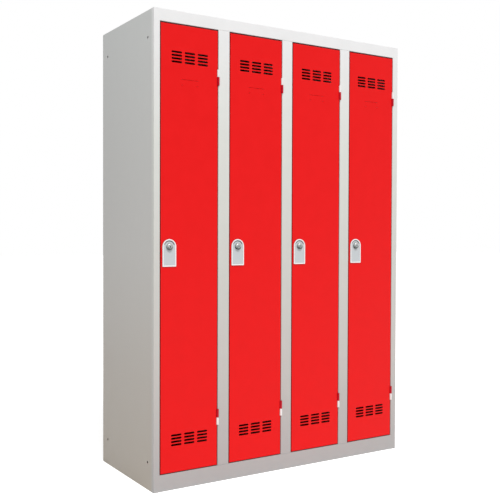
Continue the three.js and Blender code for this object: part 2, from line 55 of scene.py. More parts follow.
# ---- Sizes of the steel sheets, as in the CAD where no comment says otherwise ----
GAUGE = 1.0
GAP = 0.3
OVERRUN = 3.0
BEND = 1.0
DOOR_BEND = 1.5
COLUMNS = 4
OPENING = 249.0
LEFT_STILE, RIGHT_STILE = 25.0, 29.0
MID_STILE = 50.0
HEIGHT = 1800.0
DEPTH = 500.0
LINTEL = 46.0
PLINTH = 63.0
EDGE_FLANGE = 15.0
BACK_FLANGE = 15.0
PLINTH_RETURN = 20.0
HALF_WIDTH = (LEFT_STILE + COLUMNS * OPENING + (COLUMNS - 1) * MID_STILE + RIGHT_STILE) / 2
OPENING_EDGES = (-HALF_WIDTH + LEFT_STILE, HALF_WIDTH - RIGHT_STILE)
PITCH = OPENING + MID_STILE
OPENING_TOP = HEIGHT - LINTEL
LID_UNDERSIDE = HEIGHT - GAUGE
# The joining holes are 7 mm wide in the CAD, and wider here so that they show.
JOINING_HOLE_RADIUS = 4.8
JOINING_HOLE_INSET = 54.0
JOINING_HOLE_HEIGHTS = (104.0, HEIGHT - 100.0)

# ---- Sizes of the door pan and its stop ----
DOOR_GAP = 2.0
DOOR_TOP = OPENING_TOP - 4.0
DOOR_BOTTOM = PLINTH + 2.5
DOOR_DEPTH = 20.0
DOOR_RETURN = 12.0
DOOR_WIDTH = OPENING - 2 * DOOR_GAP
STOP_DEPTH = DOOR_DEPTH + 1.5
STOP_LIP = 8.0
STILE_BACK = STOP_DEPTH + GAUGE
BACK_FACE = DEPTH - GAUGE - GAP
BACK_PANEL_FRONT = BACK_FACE - GAUGE
PARTITION_FLANGE = 15.0
FLUSH_ENDS = (OPENING_EDGES[0] - BEND - GAUGE, OPENING_EDGES[1] + BEND + GAUGE)
END_FLANGE_RUN = (STILE_BACK + EDGE_FLANGE, BACK_FACE - EDGE_FLANGE)
CORNER_DEPTH = STILE_BACK + EDGE_FLANGE
CHANNEL_CLEAR = (OPENING_EDGES[0] - GAUGE - GAP, OPENING_EDGES[1] + GAUGE + GAP)
LIP_CLEAR = (OPENING_EDGES[0] + STOP_LIP + GAP, OPENING_EDGES[1] - STOP_LIP - GAP)
FOOT_LIFT = 0.02
HOLE_EDGE, LID_EDGE, BACK_EDGE = 0.5, 0.45, 0.3

# ---- Sizes of the slots, label holder and stiffener ----
SLOT_COLUMNS, SLOT_ROWS = 3, 4
SLOT_LENGTH, SLOT_HEIGHT = 44.0, 7.4
SLOT_COLUMN_PITCH, SLOT_ROW_PITCH = 55.4, 12.2
SLOT_HEIGHTS = (DOOR_TOP - 121.5, DOOR_BOTTOM + 122.5)
RIB_LENGTH, RIB_TAB = 72.0, 7.0
RIB_HEIGHT, RIB_PROUD = 2.0, 0.8
RIB_TOP = DOOR_TOP - 201.0
LABEL_HEIGHT = 24.0
STIFFENER_CROWN, STIFFENER_FLANGE, STIFFENER_DEPTH = 26.0, 12.0, 14.0
STIFFENER_CLEARANCE = 20.0
RIB_EDGE, RIB_EDGE_STEPS = 0.64, 3
SLIT_HEIGHT, MITRE_GAP = 0.9, 0.3

# ---- Sizes of the hinges ----
AXIS_PROUD = 1.0
KNUCKLE_RADIUS, PIN_RADIUS = 4.8, 2.2
FRAME_KNUCKLE, DOOR_KNUCKLE = 28.0, 32.0
RUNNING_GAP = 0.25
NOTCH_CLEARANCE = 0.7
LEAF_LENGTH, LEAF_GAUGE = 20.0, 1.5
UPPER_SPLIT = DOOR_TOP - 178.0
LOWER_SPLIT = DOOR_BOTTOM + 186.5
NOTCH_DEPTH = KNUCKLE_RADIUS + NOTCH_CLEARANCE - AXIS_PROUD
BORE_RADIUS = PIN_RADIUS + GAP
KNUCKLE_EDGE, PIN_RECESS, PIN_RING, SHEARED_EDGE = 0.7, 0.5, 0.35, 0.4
HINGE_SPANS = ((UPPER_SPLIT, DOOR_KNUCKLE + RUNNING_GAP, FRAME_KNUCKLE + RUNNING_GAP),
               (LOWER_SPLIT, FRAME_KNUCKLE + RUNNING_GAP, DOOR_KNUCKLE + RUNNING_GAP))

# ---- Sizes of the lock: in the CAD the rim is 6 mm and the keyway 2.2 by 8 mm ----
LOCK_INSET, LOCK_HEIGHT = 36.0, 918.0
PLATE_WIDTH, PLATE_DROP = 57.0, 75.0
PLATE_THICKNESS, PLATE_FLOOR, PLATE_RIM = 4.0, 1.5, 5.0
GROOVE_WIDTH, GROOVE_DEPTH = 3.6, 1.1
BARREL_RADIUS, BARREL_PROUD, NECK_RADIUS = 13.0, 11.0, 10.0
BARREL_EDGE, DOME_DEPTH, DOME_RECESS = 0.5, 5.5, 0.8
PLUG_RADIUS, PLUG_PROUD, PLUG_LIP = 7.0, 0.7, 0.9
PLUG_FACE = -GAP - BARREL_PROUD - PLUG_PROUD
PLUG_FRONT_ROWS = ((0.9, 0.0), (0.3, 0.25), (0.0, 0.9))
KEYWAY_WIDTH, KEYWAY_HEIGHT, KEYWAY_DEPTH, KEYWAY_EDGE = 3.2, 6.8, 5.0, 0.6
CASE_WIDTH, CASE_HEIGHT, CASE_DEPTH = 30.0, 44.0, 17.0
CASE_EDGE, CASE_EDGE_STEPS = 1.5, 3
CAM_LENGTH, CAM_WIDTH, CAM_GAUGE = 38.0, 14.0, 2.0
CAM_FRONT = STILE_BACK + 0.8
CAM_CORNER, CAM_EDGE = 3.0, 0.3
TIP_WIDTH, TIP_PROUD, TIP_EDGE = 8.0, 0.7, 0.5
PLATE_CORNER, PLATE_CORNER_LEAST = 2.5, 0.8
FOOT_SHARES = (-0.25, 0.0, 0.25)
# Across the plate's rim: how far in from its outline, and how far behind its front.
RIM_ROWS = ((0.35, 0.7), (1.1, 0.15), (2.2, 0.0), (PLATE_RIM - 2.0, 0.0), (PLATE_RIM - 1.0, 0.2),
            (PLATE_RIM - 0.25, 0.9), (PLATE_RIM, 1.7))
RIM_SIDE = 1.6
GROOVE_LEAN, GROOVE_WALL, GROOVE_FADE = 0.1, 0.5, 0.4

# ---- Sizes of the shelf, rail and hooks ----
SHELF_TOP = LID_UNDERSIDE - 344.0
SHELF_SETBACK, SHELF_LIP, SHELF_RETURN = 30.0, 20.0, 12.0
SHELF_BACK = BACK_PANEL_FRONT - 2 * GAP - GAUGE
RAIL_HEIGHT, RAIL_DEPTH = SHELF_TOP - 60.0, DEPTH / 2
RAIL_RADIUS, RAIL_WALL = 8.0, 1.2
CUP_RADIUS, CUP_THICKNESS = 13.0, 3.0
HOOK_SPACING, HOOK_WIRE = 90.0, 2.5
HOOK_SHANK, HOOK_THROAT, HOOK_TIP = 30.0, 18.0, 10.0
HOOK_NECK, HOOK_EASE = 2.0, 4.0
WIRE_END_ANGLES = (0.0, 0.5, 0.95, 1.35)
SHELF_FLANGE_INSET = 24.0
CUP_EDGE, EDGE_SHARE = 0.8, 0.3

# ---- Spot welds ----
WELD_RADIUS, WELD_SINK = 7.5, 0.85
WELD_SHARES = ((1.0, 0.0), (0.8, 0.45), (0.4, 0.9), (0.0, 1.0))
SHELF_WELD_MIDDLE, SHELF_WELD_PITCH = 257.5, 245.0
BACK_WELD_ROWS, BACK_WELD_PITCH = 11, 152.0
STIFFENER_WELD_ROWS, STIFFENER_WELD_PITCH = 9, 160.0

# ---- Fineness of the curves ----
BEND_STEPS, ARCH_STEPS, DOME_STEPS, CAM_STEPS = 6, 32, 8, 16
HOOK_BENDS, SLOT_END_STEPS, SIDE_STEPS, CORNER_STEPS, CAM_CORNER_STEPS = 12, 8, 5, 5, 4
ROUND_SIDES, HOLE_SIDES, WIRE_SIDES, WELD_SIDES = 48, 32, 14, 16
RAIL_SIDES, KNUCKLE_SIDES, PIN_SIDES, BARREL_SIDES = 40, 32, 24, 64
MERGE_DISTANCE = 0.0001
SHARP_ANGLE = radians(32)


# ---- Places along the front ----
def opening_left(column):
    return OPENING_EDGES[0] + column * PITCH


def hinge_x(column):
    return opening_left(column) + OPENING - DOOR_GAP / 2


def post_x(column):
    return opening_left(column) + OPENING + MID_STILE / 2


DOOR_RIGHT = hinge_x(0) - DOOR_GAP / 2
DOOR_LEFT = DOOR_RIGHT - DOOR_WIDTH
DOOR_MIDDLE = (DOOR_LEFT + DOOR_RIGHT) / 2
LOCK_X = DOOR_LEFT + LOCK_INSET
HINGE_AXIS, LOCK_AXIS = (hinge_x(0), -AXIS_PROUD), (LOCK_X, LOCK_HEIGHT)


# ---- Nodes ----
def add_node(tree, kind, sockets=None, stops=(), **settings):
    """Adds one node to a tree, with its settings, values and links. A kind without Node in it
    is a shader's. A node given for a socket is linked by its first output, and stops are a
    colour ramp's places and hex colours."""
    node = tree.nodes.new(kind if "Node" in kind else "ShaderNode" + kind)
    for name, value in settings.items():
        setattr(node, name, value)
    while len(stops) > 2 and len(node.color_ramp.elements) < len(stops):
        node.color_ramp.elements.new(0.5)
    for k, (place, code) in enumerate(stops):
        node.color_ramp.elements[k].position = place
        node.color_ramp.elements[k].color = linear(code)
    for socket, value in (sockets or {}).items():
        if isinstance(value, bpy.types.Node):
            value = value.outputs[0]
        if isinstance(value, bpy.types.NodeSocket):
            tree.links.new(value, node.inputs[socket])
        else:
            node.inputs[socket].default_value = value
    return node


def linear(code):
    """An sRGB hex colour as linear red, green, blue and alpha."""
    parts = [int(code[k:k + 2], 16) / 255 for k in (1, 3, 5)]
    return [c / 12.92 if c <= 0.04045 else ((c + 0.055) / 1.055) ** 2.4 for c in parts] + [1.0]


def empty_tree(owner):
    """The node tree of a material or world, with nothing in it."""
    owner.use_nodes = True
    owner.node_tree.nodes.clear()
    return owner.node_tree


# ---- Plain meshes ----
def add_object(name, data):
    obj = bpy.data.objects.new(name, data)
    bpy.context.scene.collection.objects.link(obj)
    return obj


def new_object(name, bm):
    """Puts a closed mesh in the scene, with its faces turned outwards."""
    bmesh.ops.remove_doubles(bm, verts=bm.verts, dist=MERGE_DISTANCE)
    bmesh.ops.recalc_face_normals(bm, faces=bm.faces)
    mesh = bpy.data.meshes.new(name)
    bm.to_mesh(mesh)
    bm.free()
    return add_object(name, mesh)


def settle(obj):
    """Turns an object with its modifiers into a plain mesh."""
    depsgraph = bpy.context.evaluated_depsgraph_get()
    mesh = bpy.data.meshes.new_from_object(obj.evaluated_get(depsgraph))
    obj.modifiers.clear()
    obj.data = mesh
    return obj


def combine(obj, operation, tools):
    """Joins tools to an object or cuts them from it, one by one."""
    for tool in tools:
        step = obj.modifiers.new(operation, "BOOLEAN")
        step.operation = operation
        step.solver = "MANIFOLD"
        step.object = tool
        settle(obj)
        bpy.data.objects.remove(tool)
    return obj


def join(obj, *tools):
    return combine(obj, "UNION", tools)


def cut(obj, *tools):
    return combine(obj, "DIFFERENCE", tools)


def rounded_block(low, high, radius=0.0, segments=2, name="block"):
    """A block between two corners, its edges rounded by a radius."""
    bm = bmesh.new()
    bmesh.ops.create_cube(bm, size=1.0)
    low, high = Vector(low), Vector(high)
    for vert in bm.verts:
        for k in range(3):
            vert.co[k] = high[k] if vert.co[k] > 0 else low[k]
    if radius:
        bmesh.ops.bevel(bm, geom=bm.edges[:], offset=radius, segments=segments,
                        profile=0.5, affect="EDGES")
    return new_object(name, bm)


def on_axis(axis, across, up, along):
    """A point given across, up and along one of the three axes."""
    return {"X": (along, across, up), "Y": (across, along, up), "Z": (across, up, along)}[axis]


def turned(profile, axis, centre=(0.0, 0.0), sides=ROUND_SIDES, ring=False, name="turned"):
    """A turned solid: (radius, along) points swept round an axis. A ring is open at its middle."""
    bm = bmesh.new()
    rows = []
    for radius, along in profile:
        count = sides if radius > 0 else 1
        row = []
        for k in range(count):
            angle = 2 * pi * (k + 0.5) / sides
            across = centre[0] + radius * cos(angle)
            up = centre[1] + radius * sin(angle)
            row.append(bm.verts.new(on_axis(axis, across, up, along)))
        rows.append(row)
    pairs = list(zip(rows, rows[1:])) + ([(rows[-1], rows[0])] if ring else [])
    for one, other in pairs:
        for k in range(sides):
            corners = [one[k % len(one)], one[(k + 1) % len(one)],
                       other[(k + 1) % len(other)], other[k % len(other)]]
            bm.faces.new(list(dict.fromkeys(corners)))
    return new_object(name, bm)


def rod(axis, radius, run, centre=(0.0, 0.0), sides=ROUND_SIDES, edge=0.0):
    """A round bar, its end edges rounded by a small chamfer."""
    low, high = run
    profile = [(0, low), (radius - edge, low), (radius, low + edge),
               (radius, high - edge), (radius - edge, high), (0, high)]
    if not edge:
        profile = [(0, low), (radius, low), (radius, high), (0, high)]
    return turned(profile, axis, centre, sides)


def skin(bm, one, other):
    """Faces between two closed rows of points."""
    count = len(one)
    for k in range(count):
        bm.faces.new((one[k], one[(k + 1) % count], other[(k + 1) % count], other[k]))


def lofted(sections, name, ring=True):
    """A closed shell through sections that have the same number of points."""
    bm = bmesh.new()
    rows = [[bm.verts.new(point) for point in section] for section in sections]
    pairs = list(zip(rows, rows[1:])) + ([(rows[-1], rows[0])] if ring else [])
    for one, other in pairs:
        skin(bm, one, other)
    if not ring:
        bm.faces.new(rows[0])
        bm.faces.new(rows[-1])
    return new_object(name, bm)


def arc(centre, radius, start, end, steps):
    """Points on an arc about a centre, from one angle to another."""
    turns = [start + (end - start) * k / steps for k in range(steps + 1)]
    return [(centre[0] + radius * cos(a), centre[1] + radius * sin(a)) for a in turns]


# ---- Folded sheet ----
def fold_stations(path, bend=BEND, gauge=GAUGE):
    """Face and back points along a folded sheet that lies on the left of its path."""
    points = [Vector(point) for point in path]
    runs = [(after - before).normalized() for before, after in zip(points, points[1:])]
    lefts = [Vector((-run.y, run.x)) for run in runs]
    stations = [(points[0], points[0] + lefts[0] * gauge)]
    for point, run, left, ahead in zip(points[1:], runs, lefts, runs[1:]):
        turn = atan2(run.x * ahead.y - run.y * ahead.x, run.dot(ahead))
        side = copysign(1.0, turn)
        radius = bend + gauge if turn > 0 else bend
        centre = point - run * radius * tan(abs(turn) / 2) + left * side * radius
        for step in range(BEND_STEPS + 1):
            angle = turn * step / BEND_STEPS
            normal = Matrix.Rotation(angle, 2) @ left
            face = centre - normal * side * radius
            stations.append((face, face + normal * gauge))
    stations.append((points[-1], points[-1] + lefts[-1] * gauge))
    return stations


def folded_sheet(name, path, axis, run):
    """One folded sheet. Its path is in (x, y) for an upright sheet and (y, z) for a cross one."""
    stations = fold_stations(path)
    section = [face for face, back in stations] + [back for face, back in reversed(stations)]
    bm = bmesh.new()
    ends = []
    for along in run:
        ends.append([bm.verts.new((p.x, p.y, along) if axis == "Z" else (along, p.x, p.y))
                     for p in section])
    skin(bm, *ends)
    for k in range(len(stations) - 1):
        for end in ends:
            bm.faces.new((end[k], end[k + 1], end[-2 - k], end[-1 - k]))
    return new_object(name, bm)


def mirrored(obj, name):
    """The same sheet for the other side of the locker."""
    bm = bmesh.new()
    bm.from_mesh(obj.data)
    bm.transform(Matrix.Diagonal((-1, 1, 1, 1)))
    return new_object(name, bm)


def copy_of(obj, name, shift):
    mesh = obj.data.copy()
    mesh.transform(Matrix.Translation((shift, 0, 0)))
    return add_object(name, mesh)


# ---- Geometry Nodes: one shape repeated on an upright grid ----
def grid_tree():
    """Repeats the object's own mesh on a grid in the plane of columns (X or Y) and rows (Z)."""
    tree = bpy.data.node_groups.new("repeat_on_grid", "GeometryNodeTree")
    sockets = {}
    for name, kind in (("Geometry", "Geometry"), ("Columns", "Int"), ("Rows", "Int"),
                       ("Column Pitch", "Float"), ("Row Pitch", "Float"),
                       ("Facing", "Rotation"), ("Finish", "Material")):
        sockets[name] = tree.interface.new_socket(
            name=name, in_out="INPUT", socket_type="NodeSocket" + kind)
    tree.interface.new_socket(name="Geometry", in_out="OUTPUT", socket_type="NodeSocketGeometry")
    given = tree.nodes.new("NodeGroupInput").outputs

    def span(count, pitch):
        gaps = add_node(tree, "Math", {0: given[count], 1: 1.0}, operation="SUBTRACT")
        return add_node(tree, "Math", {0: gaps, 1: given[pitch]}, operation="MULTIPLY")

    grid = add_node(tree, "GeometryNodeMeshGrid", {
        "Size X": span("Columns", "Column Pitch"), "Size Y": span("Rows", "Row Pitch"),
        "Vertices X": given["Columns"], "Vertices Y": given["Rows"]})
    upright = add_node(tree, "GeometryNodeTransform", {
        "Geometry": grid, "Rotation": given["Facing"]})
    placed = add_node(tree, "GeometryNodeInstanceOnPoints", {
        "Points": upright, "Instance": given["Geometry"]})
    real = add_node(tree, "GeometryNodeRealizeInstances", {"Geometry": placed})
    painted = add_node(tree, "GeometryNodeSetMaterial", {
        "Geometry": real, "Material": given["Finish"]})
    add_node(tree, "NodeGroupOutput", {"Geometry": painted})
    return tree, {name: socket.identifier for name, socket in sockets.items()}


REPEAT_TREE, REPEAT_INPUTS = grid_tree()
FACING_FRONT = Euler((pi / 2, 0, 0))
FACING_SIDE = Euler((pi / 2, 0, pi / 2))


def repeated(shape, centre, columns, rows, column_pitch, row_pitch, facing, finish):
    """The shape, made about its own middle, repeated on a grid and moved to its centre."""
    step = shape.modifiers.new("repeat_on_grid", "NODES")
    step.node_group = REPEAT_TREE
    for name, value in (("Columns", columns), ("Rows", rows), ("Column Pitch", column_pitch),
                        ("Row Pitch", row_pitch), ("Facing", facing), ("Finish", finish)):
        step[REPEAT_INPUTS[name]] = value
    settle(shape)
    shape.data.transform(Matrix.Translation(centre))
    return shape


def dimple(axis, outward):
    """The shallow lens that a spot weld leaves in a sheet, to be cut from its face."""
    above = outward * OVERRUN
    lens = [(WELD_RADIUS * wide, -outward * WELD_SINK * deep) for wide, deep in WELD_SHARES]
    return turned([(0, above), (WELD_RADIUS, above)] + lens, axis, sides=WELD_SIDES,
                  name="weld_dimple")


# ---- Finishing a piece ----
def place_piece(obj, body, nodes, finish):
    """Smooths a piece, brings it into the row frame, hangs it under its body and hides the CAD
    nodes it stands for.
    """
    obj.data.materials.clear()
    obj.data.materials.append(finish)
    for face in obj.data.polygons:
        face.material_index = 0
    obj.data.shade_smooth()
    obj.data.set_sharp_from_angle(angle=SHARP_ANGLE)
    even = obj.modifiers.new("even_shading", "WEIGHTED_NORMAL")
    even.keep_sharp = True
    even.weight = 100
    settle(obj)
    obj.data.transform(ROW)
    obj.data.name = obj.name
    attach(obj, body)
    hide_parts(*nodes)


# ---- Sheets of the carcass ----
def hinge_notches(axis_x, depth):
    """Blocks that clear the two knuckles of each hinge out of a sheet's folded edge."""
    half = KNUCKLE_RADIUS + NOTCH_CLEARANCE
    return [rounded_block((axis_x - half, -OVERRUN, split - low - NOTCH_CLEARANCE),
                          (axis_x + half, depth, split + high + NOTCH_CLEARANCE))
            for split, low, high in HINGE_SPANS]


def side_sheet(lip):
    left = -HALF_WIDTH
    path = [(left + BACK_FLANGE, DEPTH), (left, DEPTH), (left, 0), (left + lip, 0),
            (left + lip, STOP_DEPTH), (left + lip + STOP_LIP, STOP_DEPTH)]
    sheet = folded_sheet("left_side_sheet", path, "Z", (0, LID_UNDERSIDE - GAP))
    foot = rounded_block((left, JOINING_HOLE_INSET, FOOT_LIFT),
                         (left + PLINTH_RETURN, DEPTH - JOINING_HOLE_INSET, GAUGE))
    join(sheet, foot)
    for depth in (JOINING_HOLE_INSET, DEPTH - JOINING_HOLE_INSET):
        for height in JOINING_HOLE_HEIGHTS:
            radius = JOINING_HOLE_RADIUS
            profile = [(0, left - OVERRUN), (radius + HOLE_EDGE, left - OVERRUN),
                       (radius + HOLE_EDGE, left), (radius, left + HOLE_EDGE),
                       (radius, left + OVERRUN), (0, left + OVERRUN)]
            cut(sheet, turned(profile, "X", (depth, height), HOLE_SIDES))
    marks = repeated(dimple("X", -1), (left, SHELF_WELD_MIDDLE, SHELF_TOP - EDGE_FLANGE / 2),
                     2, 1, SHELF_WELD_PITCH, 1.0, FACING_SIDE, GREY_PAINT)
    return cut(sheet, marks)


def flanges(top, back_drop):
    """The flanges that a cross sheet turns down at its back and at its two ends."""
    wide, inner = HALF_WIDTH - BACK_FLANGE - GAP, HALF_WIDTH - GAUGE - GAP - GAUGE
    strips = [((-wide, wide), (DEPTH - GAUGE, DEPTH), back_drop)]
    strips += [(sorted((side * inner, side * (inner + GAUGE))), END_FLANGE_RUN, EDGE_FLANGE)
               for side in (-1, 1)]
    return [rounded_block((low, near, top - drop), (high, far, top - GAUGE / 2))
            for (low, high), (near, far), drop in strips]


def lid_sheet():
    path = [(DEPTH, HEIGHT - EDGE_FLANGE), (DEPTH, HEIGHT), (0, HEIGHT), (0, OPENING_TOP),
            (STOP_DEPTH - GAP, OPENING_TOP)]
    sheet = folded_sheet("lid_and_lintel_sheet", path, "X", FLUSH_ENDS)
    lid = rounded_block((-HALF_WIDTH, GAP, LID_UNDERSIDE), (HALF_WIDTH, DEPTH - GAP, HEIGHT),
                        LID_EDGE)
    return join(sheet, lid, *flanges(HEIGHT, EDGE_FLANGE))


def floor_sheet():
    wide = HALF_WIDTH - GAUGE - GAP
    path = [(DEPTH, 0), (DEPTH, PLINTH), (0, PLINTH), (0, 0), (PLINTH_RETURN, 0)]
    sheet = folded_sheet("floor_and_plinth_sheet", path, "X", FLUSH_ENDS)
    tray = rounded_block((-wide, STILE_BACK + GAP, PLINTH - GAUGE),
                         (wide, DEPTH - GAUGE - GAP, PLINTH))
    corners = [rounded_block((low, GAUGE + GAP, PLINTH - GAUGE), (high, CORNER_DEPTH, PLINTH))
               for low, high in ((-wide, CHANNEL_CLEAR[0]), (CHANNEL_CLEAR[1], wide))]
    join(sheet, tray, *corners, *flanges(PLINTH, PLINTH))
    slits = [rounded_block((low, STOP_DEPTH - GAP, PLINTH - OVERRUN),
                           (high, STILE_BACK + GAP, PLINTH + OVERRUN))
             for low, high in ((CHANNEL_CLEAR[0], LIP_CLEAR[0]), (LIP_CLEAR[1], CHANNEL_CLEAR[1]))]
    return cut(sheet, *slits)


def back_sheet():
    wide = HALF_WIDTH - GAUGE - GAP
    sheet = rounded_block((-wide, BACK_PANEL_FRONT, PLINTH + GAP),
                          (wide, BACK_FACE, LID_UNDERSIDE - GAP), BACK_EDGE,
                          name="back_sheet")
    rows = repeated(dimple("Y", 1), (0, BACK_FACE, (HEIGHT + PLINTH) / 2), COLUMNS - 1,
                    BACK_WELD_ROWS, PITCH, BACK_WELD_PITCH, FACING_FRONT, GREY_PAINT)
    return cut(sheet, rows)


def partition_sheet():
    near, far = GAUGE + GAP, BACK_PANEL_FRONT - GAP
    path = [(PARTITION_FLANGE, far), (-GAUGE / 2, far), (-GAUGE / 2, near),
            (PARTITION_FLANGE, near)]
    sheet = folded_sheet("partition_first", path, "Z", (PLINTH + GAP, LID_UNDERSIDE - GAP))
    return cut(sheet, rounded_block((-PARTITION_FLANGE, -OVERRUN, OPENING_TOP - GAP),
                                    (PARTITION_FLANGE + OVERRUN, STOP_DEPTH, HEIGHT)))


def stile_sheet():
    half = MID_STILE / 2
    path = [(-half - STOP_LIP, STOP_DEPTH), (-half, STOP_DEPTH), (-half, 0), (half, 0),
            (half, STOP_DEPTH), (half + STOP_LIP, STOP_DEPTH)]
    sheet = folded_sheet("stile_first", path, "Z", (PLINTH + GAP, OPENING_TOP - GAP))
    return cut(sheet, *hinge_notches(-half - DOOR_GAP / 2, NOTCH_DEPTH))


# ---- Shelves, rails and hooks ----
def shelf_sheet(name, low, high):
    path = [(SHELF_BACK, SHELF_TOP - SHELF_RETURN), (SHELF_BACK, SHELF_TOP),
            (SHELF_SETBACK, SHELF_TOP), (SHELF_SETBACK, SHELF_TOP - SHELF_LIP),
            (SHELF_SETBACK + SHELF_RETURN, SHELF_TOP - SHELF_LIP)]
    sheet = folded_sheet(name, path, "X", (low, high))
    for edge in (low, high - GAUGE):
        join(sheet, rounded_block(
            (edge, SHELF_SETBACK + SHELF_FLANGE_INSET, SHELF_TOP - EDGE_FLANGE),
            (edge + GAUGE, SHELF_BACK - SHELF_FLANGE_INSET, SHELF_TOP - GAUGE / 2)))
    return sheet


def swept_wire(points, radius, name):
    """A round wire along a path, both of its ends rounded off."""
    count = len(points)
    sections = []
    across = Vector((1, 0, 0))
    for k, point in enumerate(points):
        ahead = points[min(k + 1, count - 1)] - points[max(k - 1, 0)]
        normal = across.cross(ahead.normalized()).normalized()
        rings = [(radius, 0.0)]
        if k == count - 1:
            rings = [(radius * cos(a), radius * sin(a)) for a in WIRE_END_ANGLES]
        for size, rise in rings:
            middle = point + ahead.normalized() * rise
            sections.append([middle + across * size * cos(turn)
                             + normal * size * sin(turn)
                             for turn in (2 * pi * s / WIRE_SIDES
                                          for s in range(WIRE_SIDES))])
    return lofted(sections, name, ring=False)


def hook_wire(x):
    """A hook: shank down from the rail, half a turn to the front and a short tip."""
    axis_y, axis_z = RAIL_DEPTH, RAIL_HEIGHT
    radius, bend = HOOK_THROAT / 2, -RAIL_RADIUS - HOOK_SHANK
    places = [(0, -RAIL_RADIUS + RAIL_WALL / 2), (0, -RAIL_RADIUS - HOOK_NECK),
              (0, bend + HOOK_EASE)]
    places += arc((-radius, bend), radius, 0, -pi, HOOK_BENDS)
    places += [(-HOOK_THROAT, bend + HOOK_TIP / 2),
               (-HOOK_THROAT, bend + HOOK_TIP - HOOK_WIRE)]
    return swept_wire([Vector((x, axis_y + y, axis_z + z)) for y, z in places],
                      HOOK_WIRE, "hook_wire")


def hanging_rail(name, low, high):
    """Tube with a rounded cup at each wall, and its two hooks."""
    bore, face, ease = RAIL_RADIUS - RAIL_WALL, low + CUP_THICKNESS, CUP_EDGE * EDGE_SHARE
    profile = [(bore, low), (CUP_RADIUS, low), (CUP_RADIUS, face - CUP_EDGE),
               (CUP_RADIUS - ease, face - ease), (CUP_RADIUS - CUP_EDGE, face),
               (RAIL_RADIUS + CUP_EDGE, face), (RAIL_RADIUS, face + CUP_EDGE)]
    far = [(radius, high + low - along) for radius, along in reversed(profile)]
    tube = turned(profile + far, "X", (RAIL_DEPTH, RAIL_HEIGHT), RAIL_SIDES, ring=True, name=name)
    middle = (low + high) / 2
    for x in (middle - HOOK_SPACING / 2, middle + HOOK_SPACING / 2):
        join(tube, hook_wire(x))
    return tube


# ---- Hinges ----
def knuckle(name, span, leaf_side):
    """A rolled knuckle, its ends soft and the pin's ends sunk, with a leaf behind the sheet."""
    bottom, top = span
    ease = KNUCKLE_EDGE * EDGE_SHARE
    foot = [(0, PIN_RECESS), (PIN_RADIUS, PIN_RECESS), (PIN_RADIUS + PIN_RING, 0),
            (KNUCKLE_RADIUS - KNUCKLE_EDGE, 0), (KNUCKLE_RADIUS - ease, ease),
            (KNUCKLE_RADIUS, KNUCKLE_EDGE)]
    profile = [(radius, bottom + rise) for radius, rise in foot]
    profile += [(radius, top - rise) for radius, rise in reversed(foot)]
    low, high = sorted((HINGE_AXIS[0], HINGE_AXIS[0] + leaf_side * LEAF_LENGTH))
    leaf = rounded_block((low, GAUGE + GAP, bottom), (high, GAUGE + GAP + LEAF_GAUGE, top),
                         SHEARED_EDGE)
    return join(turned(profile, "Z", HINGE_AXIS, KNUCKLE_SIDES, name=name), leaf)


def frame_knuckle(name, span, pin_span):
    pin = rod("Z", PIN_RADIUS, pin_span, HINGE_AXIS, PIN_SIDES, SHEARED_EDGE)
    return join(knuckle(name, span, 1), pin)


def door_knuckle(name, span):
    bore = rod("Z", BORE_RADIUS, (span[0] - OVERRUN, span[1] + OVERRUN), HINGE_AXIS, PIN_SIDES)
    return cut(knuckle(name, span, -1), bore)


# ---- Door ----
def pan_ring(inset, depth):
    return [(DOOR_LEFT + inset, depth, DOOR_BOTTOM + inset),
            (DOOR_RIGHT - inset, depth, DOOR_BOTTOM + inset),
            (DOOR_RIGHT - inset, depth, DOOR_TOP - inset),
            (DOOR_LEFT + inset, depth, DOOR_TOP - inset)]


def door_pan():
    """Door sheet: a flat face, four sides bent back and four returns bent in behind them."""
    path = [(DOOR_RETURN, DOOR_DEPTH), (0, DOOR_DEPTH), (0, 0), (DOOR_RETURN, 0)]
    stations = fold_stations(path, DOOR_BEND)
    bm = bmesh.new()
    edges = []
    for shell in zip(*stations):
        rows = [[bm.verts.new(point) for point in pan_ring(*place)] for place in shell]
        for one, other in zip(rows, rows[1:]):
            skin(bm, one, other)
        bm.faces.new(rows[-1])
        edges.append(rows[0])
    skin(bm, *edges)
    return new_object("door_sheet_1", bm)


def slot_shape():
    """One slot as a solid with round ends, to be cut through the door."""
    straight = (SLOT_LENGTH - SLOT_HEIGHT) / 2
    end = arc((straight, 0), SLOT_HEIGHT / 2, -pi / 2, pi / 2, SLOT_END_STEPS)
    outline = end + [(-x, -z) for x, z in end]
    return lofted([[(x, depth, z) for x, z in outline] for depth in (-OVERRUN, OVERRUN + GAUGE)],
                  "slot_shape", ring=False)


def label_rib(left, right, top):
    return rounded_block((left, -RIB_PROUD, top - RIB_HEIGHT), (right, GAUGE / 2, top),
                         RIB_EDGE, RIB_EDGE_STEPS)


def label_slit(left, right, bottom):
    """The slit beside a pressed rib, which the label's edge slides into."""
    return rounded_block((left, -OVERRUN, bottom), (right, OVERRUN, bottom + SLIT_HEIGHT))


